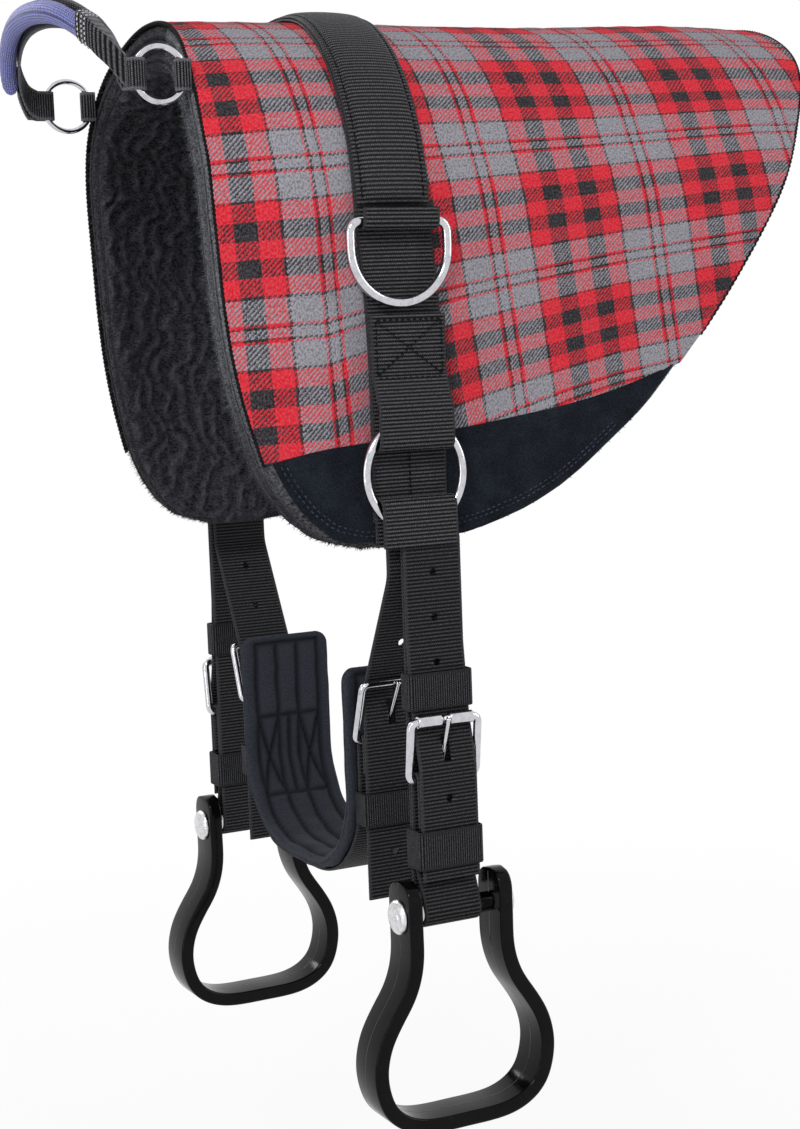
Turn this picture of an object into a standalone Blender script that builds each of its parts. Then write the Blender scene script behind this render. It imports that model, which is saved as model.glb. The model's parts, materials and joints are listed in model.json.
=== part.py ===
"""Bareback pad with its rigging, stirrups, girth and hand grip.

Metres, +Z up. The spine runs along Y with the hand grip at -Y, left is +X, and the origin is the
underside of the ridge, where the pad lies on the back. The straps hang plumb, as they do on a stand.
"""
import math

import bmesh
import bpy
from mathutils import Vector

ORIGIN = (0.0, 0.0, 0.0)
QUARTER = math.pi / 2

# Clearances and stock webbing
GAP = 0.0003
WEB = 0.0022
WEB_WIDTH = 0.049
STRAP_WIDTH = 0.038
THIN_WEB = 0.0015

# Pad: its layers from the back outward, and its outline
FLEECE = 0.0110
FELT = 0.0145
WOOL = 0.0015
LAYER_GAP = 0.0005
SUEDE_GAP = 0.0012
PAD_THICKNESS = FLEECE + FELT + WOOL + 2 * LAYER_GAP
PAD_DROP = 0.387
FRONT_REACH = 0.094
REAR_REACH = 0.341
FRONT_RADIUS = 0.105
SIDE_X = 0.125
REAR_RADIUS = 0.135
WAIST_FRONT = 0.032
WAIST_REAR = 0.060
RIDGE_DIP = 0.002
RIDGE_RISE = 0.0065
ARCH_END = 0.226
ARCH_ROWS = 15
SIDE_ROWS = 5
SUEDE_ROWS = 7
COLUMN_SPACE = 0.0015

# Edges as shares: of the drop round the arch, then of the reach along the spine
FRONT_SHARES = (
    (0.0, 0.894), (0.103, 0.915), (0.207, 0.968), (0.310, 1.0), (0.413, 0.989), (0.517, 0.968),
    (0.607, 0.947), (0.685, 0.915), (0.749, 0.872), (0.806, 0.819), (0.868, 0.745), (0.920, 0.640),
    (0.963, 0.500), (0.989, 0.340), (1.0, 0.170),
)
REAR_SHARES = (
    (0.0, 0.990), (0.072, 0.992), (0.150, 0.990), (0.222, 0.979), (0.295, 0.950), (0.380, 0.900),
    (0.491, 0.837), (0.553, 0.793), (0.612, 0.744), (0.700, 0.662), (0.762, 0.595), (0.819, 0.530),
    (0.873, 0.449), (0.910, 0.390), (0.941, 0.328), (0.972, 0.235), (0.992, 0.130), (1.0, 0.050),
)
# Ridge line: share of the rear reach, share of the rise
RIDGE_SHARES = ((0.0, 0.0), (0.44, 0.25), (0.88, 1.0), (1.0, 0.875))
# Suede's upper edge: share of the rear reach, share of the drop
SUEDE_SHARES = (
    (-0.276, 0.855), (-0.044, 0.842), (0.240, 0.819), (0.428, 0.796), (0.589, 0.760), (0.880, 0.677),
)

# Rigging strap over the back and the padded cover on it
STRAP_DROP = 0.372
COVER_DROP = 0.1905
COVER_WIDTH = 0.047
COVER_EDGE = 0.0018
COVER_CROWN = 0.0010
COVER_SHARES = (-0.5, -0.42, -0.25, 0.0, 0.25, 0.42, 0.5)
# The strap's middle line: share of the drop, share of the rings' place along the spine
STRAP_SHARES = (
    (0.0, 1.55), (0.06, 1.50), (0.19, 1.10), (0.36, 0.74), (0.516, 0.68), (0.620, 0.93), (1.0, 1.0),
)

# D rings
DEE_Z = -0.1000
DEE_WIRE = 0.0028
DEE_RADIUS = 0.0312
DEE_LEG = 0.0155
DEE_CORNER = 0.0060
DEE_FOLD = 0.0045
DEE_LOOP_RISE = 0.0075

# Rigging rings, the strap that carries each and the band that hangs from it
RING_Y = 0.0140
RING_Z = -0.2450
RING_WIRE = 0.0026
RING_RADIUS = 0.0315
RING_FOLD = 0.00515
RING_FOLD_OFFSET = 0.01905
RING_STRAP_TOP = -0.1530
RING_STRAP_OPEN = 0.0190
RING_STRAP_CLOSE = 0.0380
BAND_BOTTOM = -0.2870

# Plies beside the pad, counted outward from its side
LAYER_IN = SIDE_X + 2 * GAP + 1.5 * WEB
RING_X = LAYER_IN + RING_FOLD
DEE_X = LAYER_IN + DEE_FOLD
BILLET_X = LAYER_IN + WEB + GAP
LEATHER_IN = BILLET_X + WEB + GAP
LEATHER_NEXT = LEATHER_IN + WEB + GAP

# Stirrup leathers, their buckles and keepers
LEATHER_LEFT_Y = 0.0215
LEATHER_RIGHT_Y = 0.0115
LEATHER_TOP = -0.2830
LEATHER_FOLD = 0.0014
LEATHER_PART_Z = -0.3450
BUCKLE_WIRE = 0.0025
BUCKLE_HALF = 0.0222
BUCKLE_CORNER = 0.0035
HEEL_X = 0.1410
HEEL_Z = -0.4240
FRONT_BAR_X = 0.1457
FRONT_BAR_Z = -0.3890
HEEL_FOLD = BUCKLE_WIRE + GAP + WEB / 2
HEEL_LEAN = 0.0070
HEEL_PLY = 0.0280
PLY_TOP_Z = -0.4400
PLY_BOTTOM_Z = -0.4700
PRONG = 0.0014
PRONG_WRAP = 290
PRONG_SLOT = 0.0048
PRONG_SLOT_ABOVE = 0.0120
PRONG_SLOT_BELOW = 0.0100
PRONG_HOLE_TOP = 0.0265
PRONG_HOLE_LOW = 0.0105
LEATHER_OUT = HEEL_X + BUCKLE_WIRE + 2 * PRONG + 2 * GAP + WEB / 2
LEATHER_TAIL = -0.4840
HOLE_RADIUS = 0.0022
HOLE_STEP = 0.0265
HOLE_START = 0.0150
HOLE_DEPTH = 0.0080
KEEPER_SIDE = 0.0009
KEEPER_CORNER = 0.0010
UPPER_KEEPER_X = 0.1424
UPPER_KEEPER_Z = -0.3720
UPPER_KEEPER_HEIGHT = 0.0220
LOWER_KEEPER_Z = -0.4650
LOWER_KEEPER_HEIGHT = 0.0230

# Stirrups, and the bolt that each turns on
BOLT_Z = -0.5035
ROLLER_RADIUS = 0.0060
ROLLER_BORE = 0.0033
SHANK_RADIUS = 0.0030
BOLT_X = LEATHER_IN + WEB / 2 + GAP + ROLLER_RADIUS
STIRRUP_LEFT_Y = 0.0240
STIRRUP_RIGHT_Y = 0.0150
NECK_GAP = 0.0515
EAR = 0.0090
EAR_RISE = 0.0065
STIRRUP_DEPTH = 0.0280
STIRRUP_HALF = 0.0562
STIRRUP_DROP = 0.1258
STIRRUP_EDGE = 0.0014
TREAD_HALF = 0.0160
HEAD_RADIUS = 0.0105
HEAD_HEIGHT = 0.0048
NECK_SHARES = (0.079, 0.175)
# One side of the bow below its neck: share of the half width, share of the drop
BOW_SHARES = (
    (0.573, 0.270), (0.658, 0.366), (0.801, 0.461), (0.934, 0.564), (1.0, 0.676), (0.989, 0.779),
    (0.890, 0.870), (0.712, 0.932), (0.500, 0.975),
)

# Billets and girth
BILLET_Y = 0.0135
BILLET_LEAD = 0.0220
BILLET_UNDER = 0.0050
BILLET_STEP_DROP = 0.0295
BILLET_STEP = 0.0016
BILLET_TAIL = -0.5060
BILLET_BEND = 0.0120
BILLET_HOLE_SHARES = (0.22, 0.58)
BILLET_HOLE_DEPTH = 0.0140
BILLET_TAIL_HOLE = 0.0280
GIRTH_Y = 0.0200
GIRTH_WIDTH = 0.0630
GIRTH_PAD = 0.0070
GIRTH_X = 0.0775
GIRTH_TOP = -0.3645
GIRTH_LOW = -0.4965
GIRTH_BOWL = 0.0480
GIRTH_HEM = 0.0040
GIRTH_HEM_SHARE = 0.45
# Half of the girth's line, from its middle: share of its half width, share of the bowl's depth
GIRTH_SHARES = ((0.0, 0.0), (0.284, 0.0), (0.529, 0.094), (0.748, 0.3125), (0.910, 0.625), (1.0, 1.0))
# Sewn channels: share across the width, share of the thickness
QUILT_SHARES = (
    (-0.5, 0.45), (-0.375, 1.0), (-0.25, 0.6), (-0.125, 1.0), (0.0, 0.6),
    (0.125, 1.0), (0.25, 0.6), (0.375, 1.0), (0.5, 0.45),
)
GIRTH_WEB_X = GIRTH_X + GIRTH_PAD / 2 + GAP + WEB / 2
GIRTH_WIRE = 0.0022
GIRTH_HEEL_X = 0.0866
GIRTH_HEEL_Z = -0.4080
GIRTH_FRONT_X = 0.0996
GIRTH_FRONT_Z = -0.3720
BILLET_FALL_Z = LEATHER_TOP - BILLET_LEAD
BILLET_MEET_Z = GIRTH_FRONT_Z - BILLET_UNDER
BILLET_STEP_Z = GIRTH_HEEL_Z - BILLET_STEP_DROP
GIRTH_FOLD = GIRTH_WIRE + GAP + WEB / 2
GIRTH_FOLD_LEAD = 0.0120
GIRTH_FOLD_TAIL = 0.0200
GIRTH_PRONG = 0.0012
GIRTH_SLOT_HALF = 0.0100
GIRTH_BUCKLE_HALF = 0.0218
GIRTH_BILLET_X = GIRTH_HEEL_X + GIRTH_WIRE + 2 * GIRTH_PRONG + 2 * GAP + WEB / 2
GIRTH_HOLE_TOP = 0.0245
GIRTH_HOLE_LOW = 0.0090
GIRTH_KEEPER_Z = -0.4500
GIRTH_KEEPER_HEIGHT = 0.0200

# Hand grip
GRIP_RING_X = 0.0820
GRIP_STAND = 0.0172
GRIP_RING_Y = -FRONT_REACH - GRIP_STAND
GRIP_RING_Z = -0.0145
GRIP_RING_RADIUS = 0.0155
GRIP_RING_WIRE = 0.0017
GRIP_WEB = 0.0016
GRIP_WEB_WIDTH = 0.0180
GRIP_FOLD = 0.0031
GRIP_FOLD_OFFSET = 0.0126
GRIP_HALF_THICK = 0.0062
GRIP_HALF_TALL = 0.0095
GRIP_END_SHARE = 0.86
GRIP_REACH = 0.0436
GRIP_RISE = 0.0425
# Half of the grip's line from a ring to its middle: share of its half width, share of its reach
GRIP_SHARES = (
    (1.0, 0.454), (0.970, 0.626), (0.875, 0.771), (0.710, 0.878), (0.507, 0.947), (0.2535, 0.989), (0.0, 1.0),
)
GRIP_RISE_SHARES = (
    (0.0, 1.0), (0.2535, 0.958), (0.507, 0.824), (0.710, 0.6), (0.875, 0.341), (0.970, 0.106), (1.0, 0.0),
)


# Materials
def finish(name, colour, roughness, metallic=0.0):
    mat = bpy.data.materials.new(name)
    mat.use_nodes = True
    shader = mat.node_tree.nodes["Principled BSDF"]
    shader.inputs["Base Color"].default_value = (*colour, 1.0)
    shader.inputs["Roughness"].default_value = roughness
    shader.inputs["Metallic"].default_value = metallic
    mat.diffuse_color = (*colour, 1.0)
    return mat


# Reading tables of shares
def between(table, at):
    """Value of a table of pairs at a place, straight between its rows and level past its ends."""
    if at <= table[0][0]:
        return table[0][1]
    for (place_a, value_a), (place_b, value_b) in zip(table, table[1:]):
        if at <= place_b:
            return value_a + (value_b - value_a) * (at - place_a) / (place_b - place_a)
    return table[-1][1]


def front_edge(reach):
    return -FRONT_REACH * between(FRONT_SHARES, reach / PAD_DROP)


def rear_edge(reach):
    return REAR_REACH * between(REAR_SHARES, reach / PAD_DROP)


def suede_edge(y):
    return PAD_DROP * between(SUEDE_SHARES, y / REAR_REACH)


def strap_middle(reach):
    return RING_Y * between(STRAP_SHARES, reach / PAD_DROP)


def arch_radius(y):
    """Outer radius of the arch: even where the straps lie, drawn in towards the front, wider behind."""
    if y < -WAIST_FRONT:
        share = min(1.0, (-WAIST_FRONT - y) / (FRONT_REACH - WAIST_FRONT))
        return SIDE_X + (FRONT_RADIUS - SIDE_X) * share ** 1.6
    share = max(0.0, (y - WAIST_REAR) / (REAR_REACH - WAIST_REAR))
    return SIDE_X + (REAR_RADIUS - SIDE_X) * share


def ridge_lift(y):
    if y < 0:
        return -RIDGE_DIP * min(1.0, -y / FRONT_REACH)
    return RIDGE_RISE * between(RIDGE_SHARES, y / REAR_REACH)


def side_reach(z):
    """Distance round the pad from its ridge down to a height on its side, at the straps."""
    return SIDE_X * QUARTER + PAD_THICKNESS - SIDE_X - z


def place(y, reach, height):
    """Point at y along the spine, reach round the outside from the ridge, height above the underside."""
    radius = arch_radius(y)
    lift = ridge_lift(y)
    quarter = radius * QUARTER
    far = abs(reach)
    out = radius - PAD_THICKNESS + height
    top = PAD_THICKNESS - radius
    if far <= quarter:
        angle = far / radius
        return (math.copysign(out * math.sin(angle), reach), y, top + out * math.cos(angle) + lift)
    share = min(1.0, (far - quarter) / (PAD_DROP - quarter))
    return (math.copysign(out, reach), y, top - (far - quarter) + lift * (1.0 - share))


# Paths
def arc(x, z, radius, start, stop, count):
    """Points on an arc, its angles in degrees from the first axis towards the second."""
    turns = [math.radians(start + (stop - start) * i / count) for i in range(count + 1)]
    return [(x + radius * math.cos(turn), z + radius * math.sin(turn)) for turn in turns]


def smooth(points, steps):
    """Curve through all the points, with a number of steps from each to the next."""
    out = []
    for i in range(len(points) - 1):
        hull = [points[max(i - 1, 0)], points[i], points[i + 1], points[min(i + 2, len(points) - 1)]]
        for k in range(steps):
            t = k / steps
            out.append(tuple(
                b + ((c - a) * t + (2 * a - 5 * b + 4 * c - d) * t * t + (3 * b - a - 3 * c + d) * t ** 3) / 2
                for a, b, c, d in zip(*hull)))
    out.append(points[-1])
    return out


def rounded(points, radius, count=3):
    """Path with an arc of about the radius in place of each inner corner."""
    out = [points[0]]
    for before, corner, after in zip(points, points[1:], points[2:]):
        into = (Vector(corner) - Vector(before)).normalized()
        away = (Vector(after) - Vector(corner)).normalized()
        cut = radius * math.tan(into.angle(away) / 2)
        for i in range(count + 1):
            t = i / count
            start = Vector(corner) - into * cut * (1 - t)
            stop = Vector(corner) + away * cut * t
            out.append(tuple(start.lerp(stop, t)))
    out.append(points[-1])
    return out


def beside(path, distance):
    """Path kept at an even distance to the left of another."""
    out = []
    for i, here in enumerate(path):
        before = Vector(path[max(i - 1, 0)])
        after = Vector(path[min(i + 1, len(path) - 1)])
        into = (Vector(here) - before).normalized() if i else (after - Vector(here)).normalized()
        away = (after - Vector(here)).normalized() if i < len(path) - 1 else into
        lean = Vector((-into.y - away.y, into.x + away.x))
        out.append(tuple(Vector(here) + lean * 2 * distance / lean.length_squared))
    return out


def both_halves(half):
    """Whole line from its right half, whose first point lies on the middle plane."""
    return [(-a, b) for a, b in reversed(half[1:])] + half


# Making objects
def new_part(name, data, mat, pivot=ORIGIN):
    part = bpy.data.objects.new(name, data)
    part.location = pivot
    data.materials.append(mat)
    PARTS.objects.link(part)
    return part


def mesh_from(name, bm):
    bmesh.ops.recalc_face_normals(bm, faces=bm.faces)
    mesh = bpy.data.meshes.new(name)
    bm.to_mesh(mesh)
    bm.free()
    return mesh


def loft(name, low, high, mat, pivot=ORIGIN):
    """Closed body between two surfaces, each a grid of points with the same rows and columns."""
    bm = bmesh.new()
    grids = []
    for grid in (low, high):
        grids.append([[bm.verts.new(Vector(point) - Vector(pivot)) for point in row] for row in grid])
    rows = len(low)
    columns = len(low[0])
    for grid in grids:
        for i in range(rows - 1):
            for j in range(columns - 1):
                bm.faces.new((grid[i][j], grid[i][j + 1], grid[i + 1][j + 1], grid[i + 1][j]))
    rim = [(i, 0) for i in range(rows)] + [(rows - 1, j) for j in range(1, columns)]
    rim += [(i, columns - 1) for i in range(rows - 2, -1, -1)] + [(0, j) for j in range(columns - 2, 0, -1)]
    below, above = grids
    for (i, j), (m, n) in zip(rim, rim[1:] + rim[:1]):
        bm.faces.new((below[i][j], below[m][n], above[m][n], above[i][j]))
    return new_part(name, mesh_from(name, bm), mat, pivot)


def ribbon(name, line, sweep, thickness, mat, pivot=ORIGIN, closed=False):
    """Strip of even thickness: a line drawn out sideways, with half its thickness each way."""
    bm = bmesh.new()
    knots = [bm.verts.new(Vector(point) - Vector(pivot)) for point in line]
    pairs = list(zip(knots, knots[1:]))
    if closed:
        pairs.append((knots[-1], knots[0]))
    edges = [bm.edges.new(pair) for pair in pairs]
    made = bmesh.ops.extrude_edge_only(bm, edges=edges)["geom"]
    far = [item for item in made if isinstance(item, bmesh.types.BMVert)]
    bmesh.ops.translate(bm, verts=far, vec=sweep)
    part = new_part(name, mesh_from(name, bm), mat, pivot)
    shell = part.modifiers.new("thickness", "SOLIDIFY")
    shell.thickness = thickness
    shell.offset = 0.0
    shell.use_even_offset = True
    return part


def strap(name, side, path, y, width, mat, pivot=ORIGIN):
    """Webbing whose path is drawn in the X-Z plane of one side of the pad."""
    line = [(side * x, y - width / 2, z) for x, z in path]
    return ribbon(name, line, (0.0, width, 0.0), WEB, mat, pivot)


def wire(name, points, radius, mat, pivot, closed=True):
    """Round bar along a line of points."""
    curve = bpy.data.curves.new(name, "CURVE")
    curve.dimensions = "3D"
    curve.bevel_depth = radius
    curve.bevel_resolution = 2
    curve.use_fill_caps = not closed
    spline = curve.splines.new("POLY")
    spline.points.add(len(points) - 1)
    for knot, point in zip(spline.points, points):
        knot.co = (*(Vector(point) - Vector(pivot)), 1.0)
    spline.use_cyclic_u = closed
    return new_part(name, curve, mat, pivot)


def turned(name, profile, centre, mat, ring=False, steps=24):
    """Body turned about Y from pairs of radius and place along Y, listed from +Y to -Y outside."""
    mesh = bpy.data.meshes.new(name)
    edges = [(i, i + 1) for i in range(len(profile) - 1)]
    if ring:
        edges.append((len(profile) - 1, 0))
    mesh.from_pydata([(radius, 0.0, along) for radius, along in profile], edges, [])
    part = new_part(name, mesh, mat, centre)
    part.rotation_euler = (-QUARTER, 0.0, 0.0)
    screw = part.modifiers.new("turn", "SCREW")
    screw.steps = steps
    screw.render_steps = steps
    screw.use_merge_vertices = True
    screw.merge_threshold = GAP / 10
    return part


# Cutters
def tool(name, bm, centre, rotation=ORIGIN):
    cutter = bpy.data.objects.new(name, mesh_from(name, bm))
    cutter.location = centre
    cutter.rotation_euler = rotation
    cutter.display_type = "WIRE"
    cutter.hide_render = True
    CUTTERS.objects.link(cutter)
    return cutter


def block_tool(name, low, high):
    size = Vector(high) - Vector(low)
    bm = bmesh.new()
    bmesh.ops.create_cube(bm, size=1.0)
    bmesh.ops.scale(bm, vec=size, verts=bm.verts)
    return tool(name, bm, (Vector(high) + Vector(low)) / 2)


def rod_tool(name, centre, radius, length, rotation, sides):
    bm = bmesh.new()
    bmesh.ops.create_cone(bm, cap_ends=True, segments=sides, radius1=radius, radius2=radius, depth=length)
    return tool(name, bm, centre, rotation)


def carve(part, cutter, operation="DIFFERENCE"):
    boolean = part.modifiers.new(cutter.name, "BOOLEAN")
    boolean.operation = operation
    boolean.solver = "EXACT"
    boolean.object = cutter


def slot(part, side, x_low, x_high, y, z_low, z_high):
    """Slot for a buckle's prong through the plies between two distances from the middle."""
    ends = sorted((side * x_low, side * x_high))
    low = (ends[0], y - PRONG_SLOT / 2, z_low)
    high = (ends[1], y + PRONG_SLOT / 2, z_high)
    carve(part, block_tool(part.name + "_slot", low, high))


def eyelet(part, side, x, y, z, depth):
    """Buckle hole drilled across the strap, its middle at x."""
    centre = (side * x, y, z)
    carve(part, rod_tool(part.name + "_hole", centre, HOLE_RADIUS, depth, (0.0, QUARTER, 0.0), 16))


# The pad
def columns(reach):
    """Places along the spine where the pad's grid has its columns, kept inside the two edges."""
    front = front_edge(reach)
    rear = rear_edge(reach)
    ahead = [-WAIST_FRONT - (FRONT_REACH - WAIST_FRONT) * i / 3 for i in (2, 1, 0)]
    behind = [WAIST_REAR + (REAR_REACH - WAIST_REAR) * i / 4 for i in (0, 1, 2, 3)]
    inner = ahead + [RING_Y] + behind
    last = len(inner)
    kept = [
        min(max(y, front + (j + 1) * COLUMN_SPACE), rear - (last - j) * COLUMN_SPACE)
        for j, y in enumerate(inner)
    ]
    return [front] + kept + [rear]


def settle(column, reach_at):
    """Place and reach of a column's knot where its reach depends on its own place."""
    reach = PAD_DROP
    y = columns(reach)[column]
    for _ in range(12):
        y = columns(reach)[column]
        reach = reach_at(y)
    return y, reach


def pad_layer(name, low, high, mat, lower_edge):
    """Layer of even thickness over the back and down both sides to its lower edge."""
    rows = ARCH_ROWS + SIDE_ROWS
    count = len(columns(PAD_DROP))
    grids = ([], [])
    for i in range(-rows, rows + 1):
        row = []
        for j in range(count):
            if abs(i) <= ARCH_ROWS:
                reach = ARCH_END * abs(i) / ARCH_ROWS
                y = columns(reach)[j]
            else:
                share = (abs(i) - ARCH_ROWS) / SIDE_ROWS
                y, reach = settle(j, lambda at: ARCH_END + (lower_edge(at) - ARCH_END) * share)
            row.append((y, math.copysign(reach, i)))
        grids[0].append([place(y, reach, low) for y, reach in row])
        grids[1].append([place(y, reach, high) for y, reach in row])
    loft(name, *grids, mat)


def suede_layer(name, side, low, high, mat):
    count = len(columns(PAD_DROP))
    grids = ([], [])
    for i in range(SUEDE_ROWS + 1):
        share = i / SUEDE_ROWS
        row = [
            settle(j, lambda at: suede_edge(at) + GAP + (PAD_DROP - suede_edge(at) - GAP) * share)
            for j in range(count)
        ]
        grids[0].append([place(y, side * reach, low) for y, reach in row])
        grids[1].append([place(y, side * reach, high) for y, reach in row])
    loft(name, *grids, mat)


def pad():
    felt_low = FLEECE + LAYER_GAP
    felt_high = felt_low + FELT
    pad_layer("fleece_lining", 0.0, FLEECE, fleece, lambda y: PAD_DROP)
    pad_layer("felt_core", felt_low, felt_high, felt, lambda y: PAD_DROP)
    pad_layer("wool_cover", felt_high + LAYER_GAP, PAD_THICKNESS, wool, lambda y: suede_edge(y) - GAP / 2)
    suede_layer("suede_left", 1.0, felt_high + SUEDE_GAP, PAD_THICKNESS, suede)
    suede_layer("suede_right", -1.0, felt_high + SUEDE_GAP, PAD_THICKNESS, suede)


def over_back(name, drop, width, base, profile, mat):
    """Band over the back; the profile pairs a share across it with a height above its base."""
    step = ARCH_END / ARCH_ROWS
    count = math.floor(drop / step + 2 / 3)
    half = [step * i for i in range(1, count + 1) if step * i < drop] + [drop]
    if len(half) > 1 and half[-1] - half[-2] < step / 3:
        half.pop(-2)
    low = []
    high = []
    for reach in [-value for value in reversed(half)] + [0.0] + half:
        middle = strap_middle(abs(reach))
        low.append([place(middle + width * share, reach, base) for share, _ in profile])
        high.append([place(middle + width * share, reach, base + height) for share, height in profile])
    loft(name, low, high, mat)


def rigging_strap():
    base = PAD_THICKNESS + GAP
    flat = [(share, WEB) for share in (-0.5, 0.0, 0.5)]
    over_back("rigging_strap", STRAP_DROP, WEB_WIDTH, base, flat, webbing)
    dome = [
        (share, COVER_EDGE + COVER_CROWN * math.sqrt(1.0 - (2 * share) ** 2))
        for share in COVER_SHARES
    ]
    over_back("strap_cover", COVER_DROP, COVER_WIDTH, base + WEB + GAP, dome, webbing)


# Rings and the loops that carry them
def dee_outline():
    half = DEE_RADIUS
    corner = DEE_CORNER
    outline = arc(half - corner, -corner, corner, 90, 0, 3)
    outline += arc(0.0, -DEE_LEG, half, 0, -180, 18)
    outline += arc(corner - half, -corner, corner, 180, 90, 3)
    return outline


def side_rigging(name, side):
    dee_y = strap_middle(side_reach(DEE_Z))
    top = DEE_Z + DEE_LOOP_RISE
    path = [(LAYER_IN, top)] + arc(DEE_X, DEE_Z, DEE_FOLD, 180, 360, 8) + [(DEE_X + DEE_FOLD, top)]
    strap("dee_loop_" + name, side, path, dee_y, WEB_WIDTH, webbing)
    points = [(side * DEE_X, dee_y + a, DEE_Z + b) for a, b in dee_outline()]
    wire("dee_ring_" + name, points, DEE_WIRE, steel, (side * DEE_X, dee_y, DEE_Z))

    centre = (side * RING_X, RING_Y, RING_Z)
    fold_z = RING_Z + RING_FOLD_OFFSET
    close = LAYER_IN + WEB + 1.5 * GAP
    path = [(LAYER_IN, RING_STRAP_TOP)] + arc(RING_X, fold_z, RING_FOLD, 180, 360, 8)
    path += [(RING_X + RING_FOLD, fold_z + RING_STRAP_OPEN), (close, fold_z + RING_STRAP_CLOSE)]
    path += [(close, RING_STRAP_TOP)]
    strap("ring_strap_" + name, side, path, RING_Y, WEB_WIDTH, webbing)
    points = [(side * RING_X, RING_Y + a, RING_Z + b) for a, b in arc(0.0, 0.0, RING_RADIUS, 0, 350, 35)]
    wire("rigging_ring_" + name, points, RING_WIRE, steel, centre)

    fold = arc(RING_X, RING_Z - RING_FOLD_OFFSET, RING_FOLD, 180, 0, 8)
    path = [(LAYER_IN, BAND_BOTTOM)] + fold + [(RING_X + RING_FOLD, BAND_BOTTOM)]
    strap("ring_band_" + name, side, path, RING_Y, WEB_WIDTH, webbing, centre)


# Buckles, prongs and keepers
def buckle_frame(name, side, y, half, bar, heel, front, pivot):
    """Rounded wire frame between a heel bar and a front bar, each given as x and z."""
    along = Vector(front) - Vector(heel)
    reach = along.length
    along.normalize()
    corner = BUCKLE_CORNER
    flat = arc(half - corner, corner, corner, -90, 0, 3)
    flat += arc(half - corner, reach - corner, corner, 0, 90, 3)
    flat += arc(corner - half, reach - corner, corner, 90, 180, 3)
    flat += arc(corner - half, corner, corner, 180, 270, 3)
    points = [(side * (heel[0] + along.x * b), y + a, heel[1] + along.y * b) for a, b in flat]
    wire(name, points, bar, steel, pivot)


def prong(name, side, y, radius, bar, heel, front, pivot):
    """Wire hooked round the heel bar, leaving it at a tangent to lie over the front bar."""
    wrap = bar + GAP + radius
    along = Vector((0.0, 1.0))
    hook = []
    tip = Vector(front)
    for _ in range(4):
        tip = Vector(front) + wrap * Vector((along.y, -along.x))
        away = tip - Vector(heel)
        leave = math.degrees(math.atan2(away.y, away.x) + math.acos(wrap / away.length))
        hook = arc(*heel, wrap, leave + PRONG_WRAP, leave, 14)
        along = (tip - Vector(hook[-1])).normalized()
    line = hook + [tuple(tip), tuple(tip + along * 2 * bar)]
    wire(name, [(side * x, y, z) for x, z in line], radius, steel, pivot, closed=False)


def keeper(name, side, x_low, x_high, y, z, height, pivot):
    """Closed band round a strap's plies, its inner faces at the two distances given."""
    half = STRAP_WIDTH / 2 + KEEPER_SIDE + THIN_WEB / 2
    low = x_low - THIN_WEB / 2
    high = x_high + THIN_WEB / 2
    turn = KEEPER_CORNER + THIN_WEB / 2
    path = arc(high - turn, half - turn, turn, 0, 90, 2) + arc(low + turn, half - turn, turn, 90, 180, 2)
    path += arc(low + turn, turn - half, turn, 180, 270, 2) + arc(high - turn, turn - half, turn, 270, 360, 2)
    line = [(side * a, y + b, z - height / 2) for a, b in path]
    ribbon(name, line, (0.0, 0.0, height), THIN_WEB, webbing, pivot, closed=True)


def leather_path():
    """From the tail up over the heel bar and behind the front bar, folded over at the top, down
    round the stirrup's roller, back up, and folded round the heel bar."""
    fold_x = LEATHER_IN + LEATHER_FOLD
    behind_bar = FRONT_BAR_X - BUCKLE_WIRE - 3 * GAP - WEB / 2
    path = [(LEATHER_OUT, LEATHER_TAIL), (LEATHER_OUT, HEEL_Z + HEEL_LEAN), (behind_bar, FRONT_BAR_Z)]
    path += [(fold_x + LEATHER_FOLD, LEATHER_PART_Z)]
    path += arc(fold_x, LEATHER_TOP, LEATHER_FOLD, 0, 180, 4)
    path += arc(BOLT_X, BOLT_Z, ROLLER_RADIUS + GAP + WEB / 2, 180, 384, 14)
    path += [(LEATHER_NEXT, PLY_BOTTOM_Z), (LEATHER_NEXT, PLY_TOP_Z)]
    path += arc(HEEL_X, HEEL_Z, HEEL_FOLD, 180, 0, 8)
    path += [(HEEL_X + HEEL_FOLD, HEEL_Z - HEEL_PLY)]
    return path


def stirrup_leather(name, side, y):
    leather = strap("stirrup_leather_" + name, side, leather_path(), y, STRAP_WIDTH, webbing,
                    (side * RING_X, RING_Y, RING_Z))
    inside = LEATHER_IN + WEB / 2 + GAP / 2
    outside = LEATHER_OUT - WEB / 2 - GAP / 2
    slot(leather, side, inside, outside, y, HEEL_Z - PRONG_SLOT_BELOW, HEEL_Z + PRONG_SLOT_ABOVE)
    slot(leather, side, inside, LEATHER_OUT + WEB, y, HEEL_Z + PRONG_HOLE_LOW, HEEL_Z + PRONG_HOLE_TOP)
    upper = LEATHER_IN + 2 * LEATHER_FOLD - WEB / 2 - GAP / 2 + HOLE_DEPTH / 2
    for step in (2, 3, 4):
        eyelet(leather, side, upper, y, HEEL_Z + HOLE_START + HOLE_STEP * step, HOLE_DEPTH)
    eyelet(leather, side, outside + HOLE_DEPTH / 2, y, HEEL_Z + HOLE_START - HOLE_STEP, HOLE_DEPTH)


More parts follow.
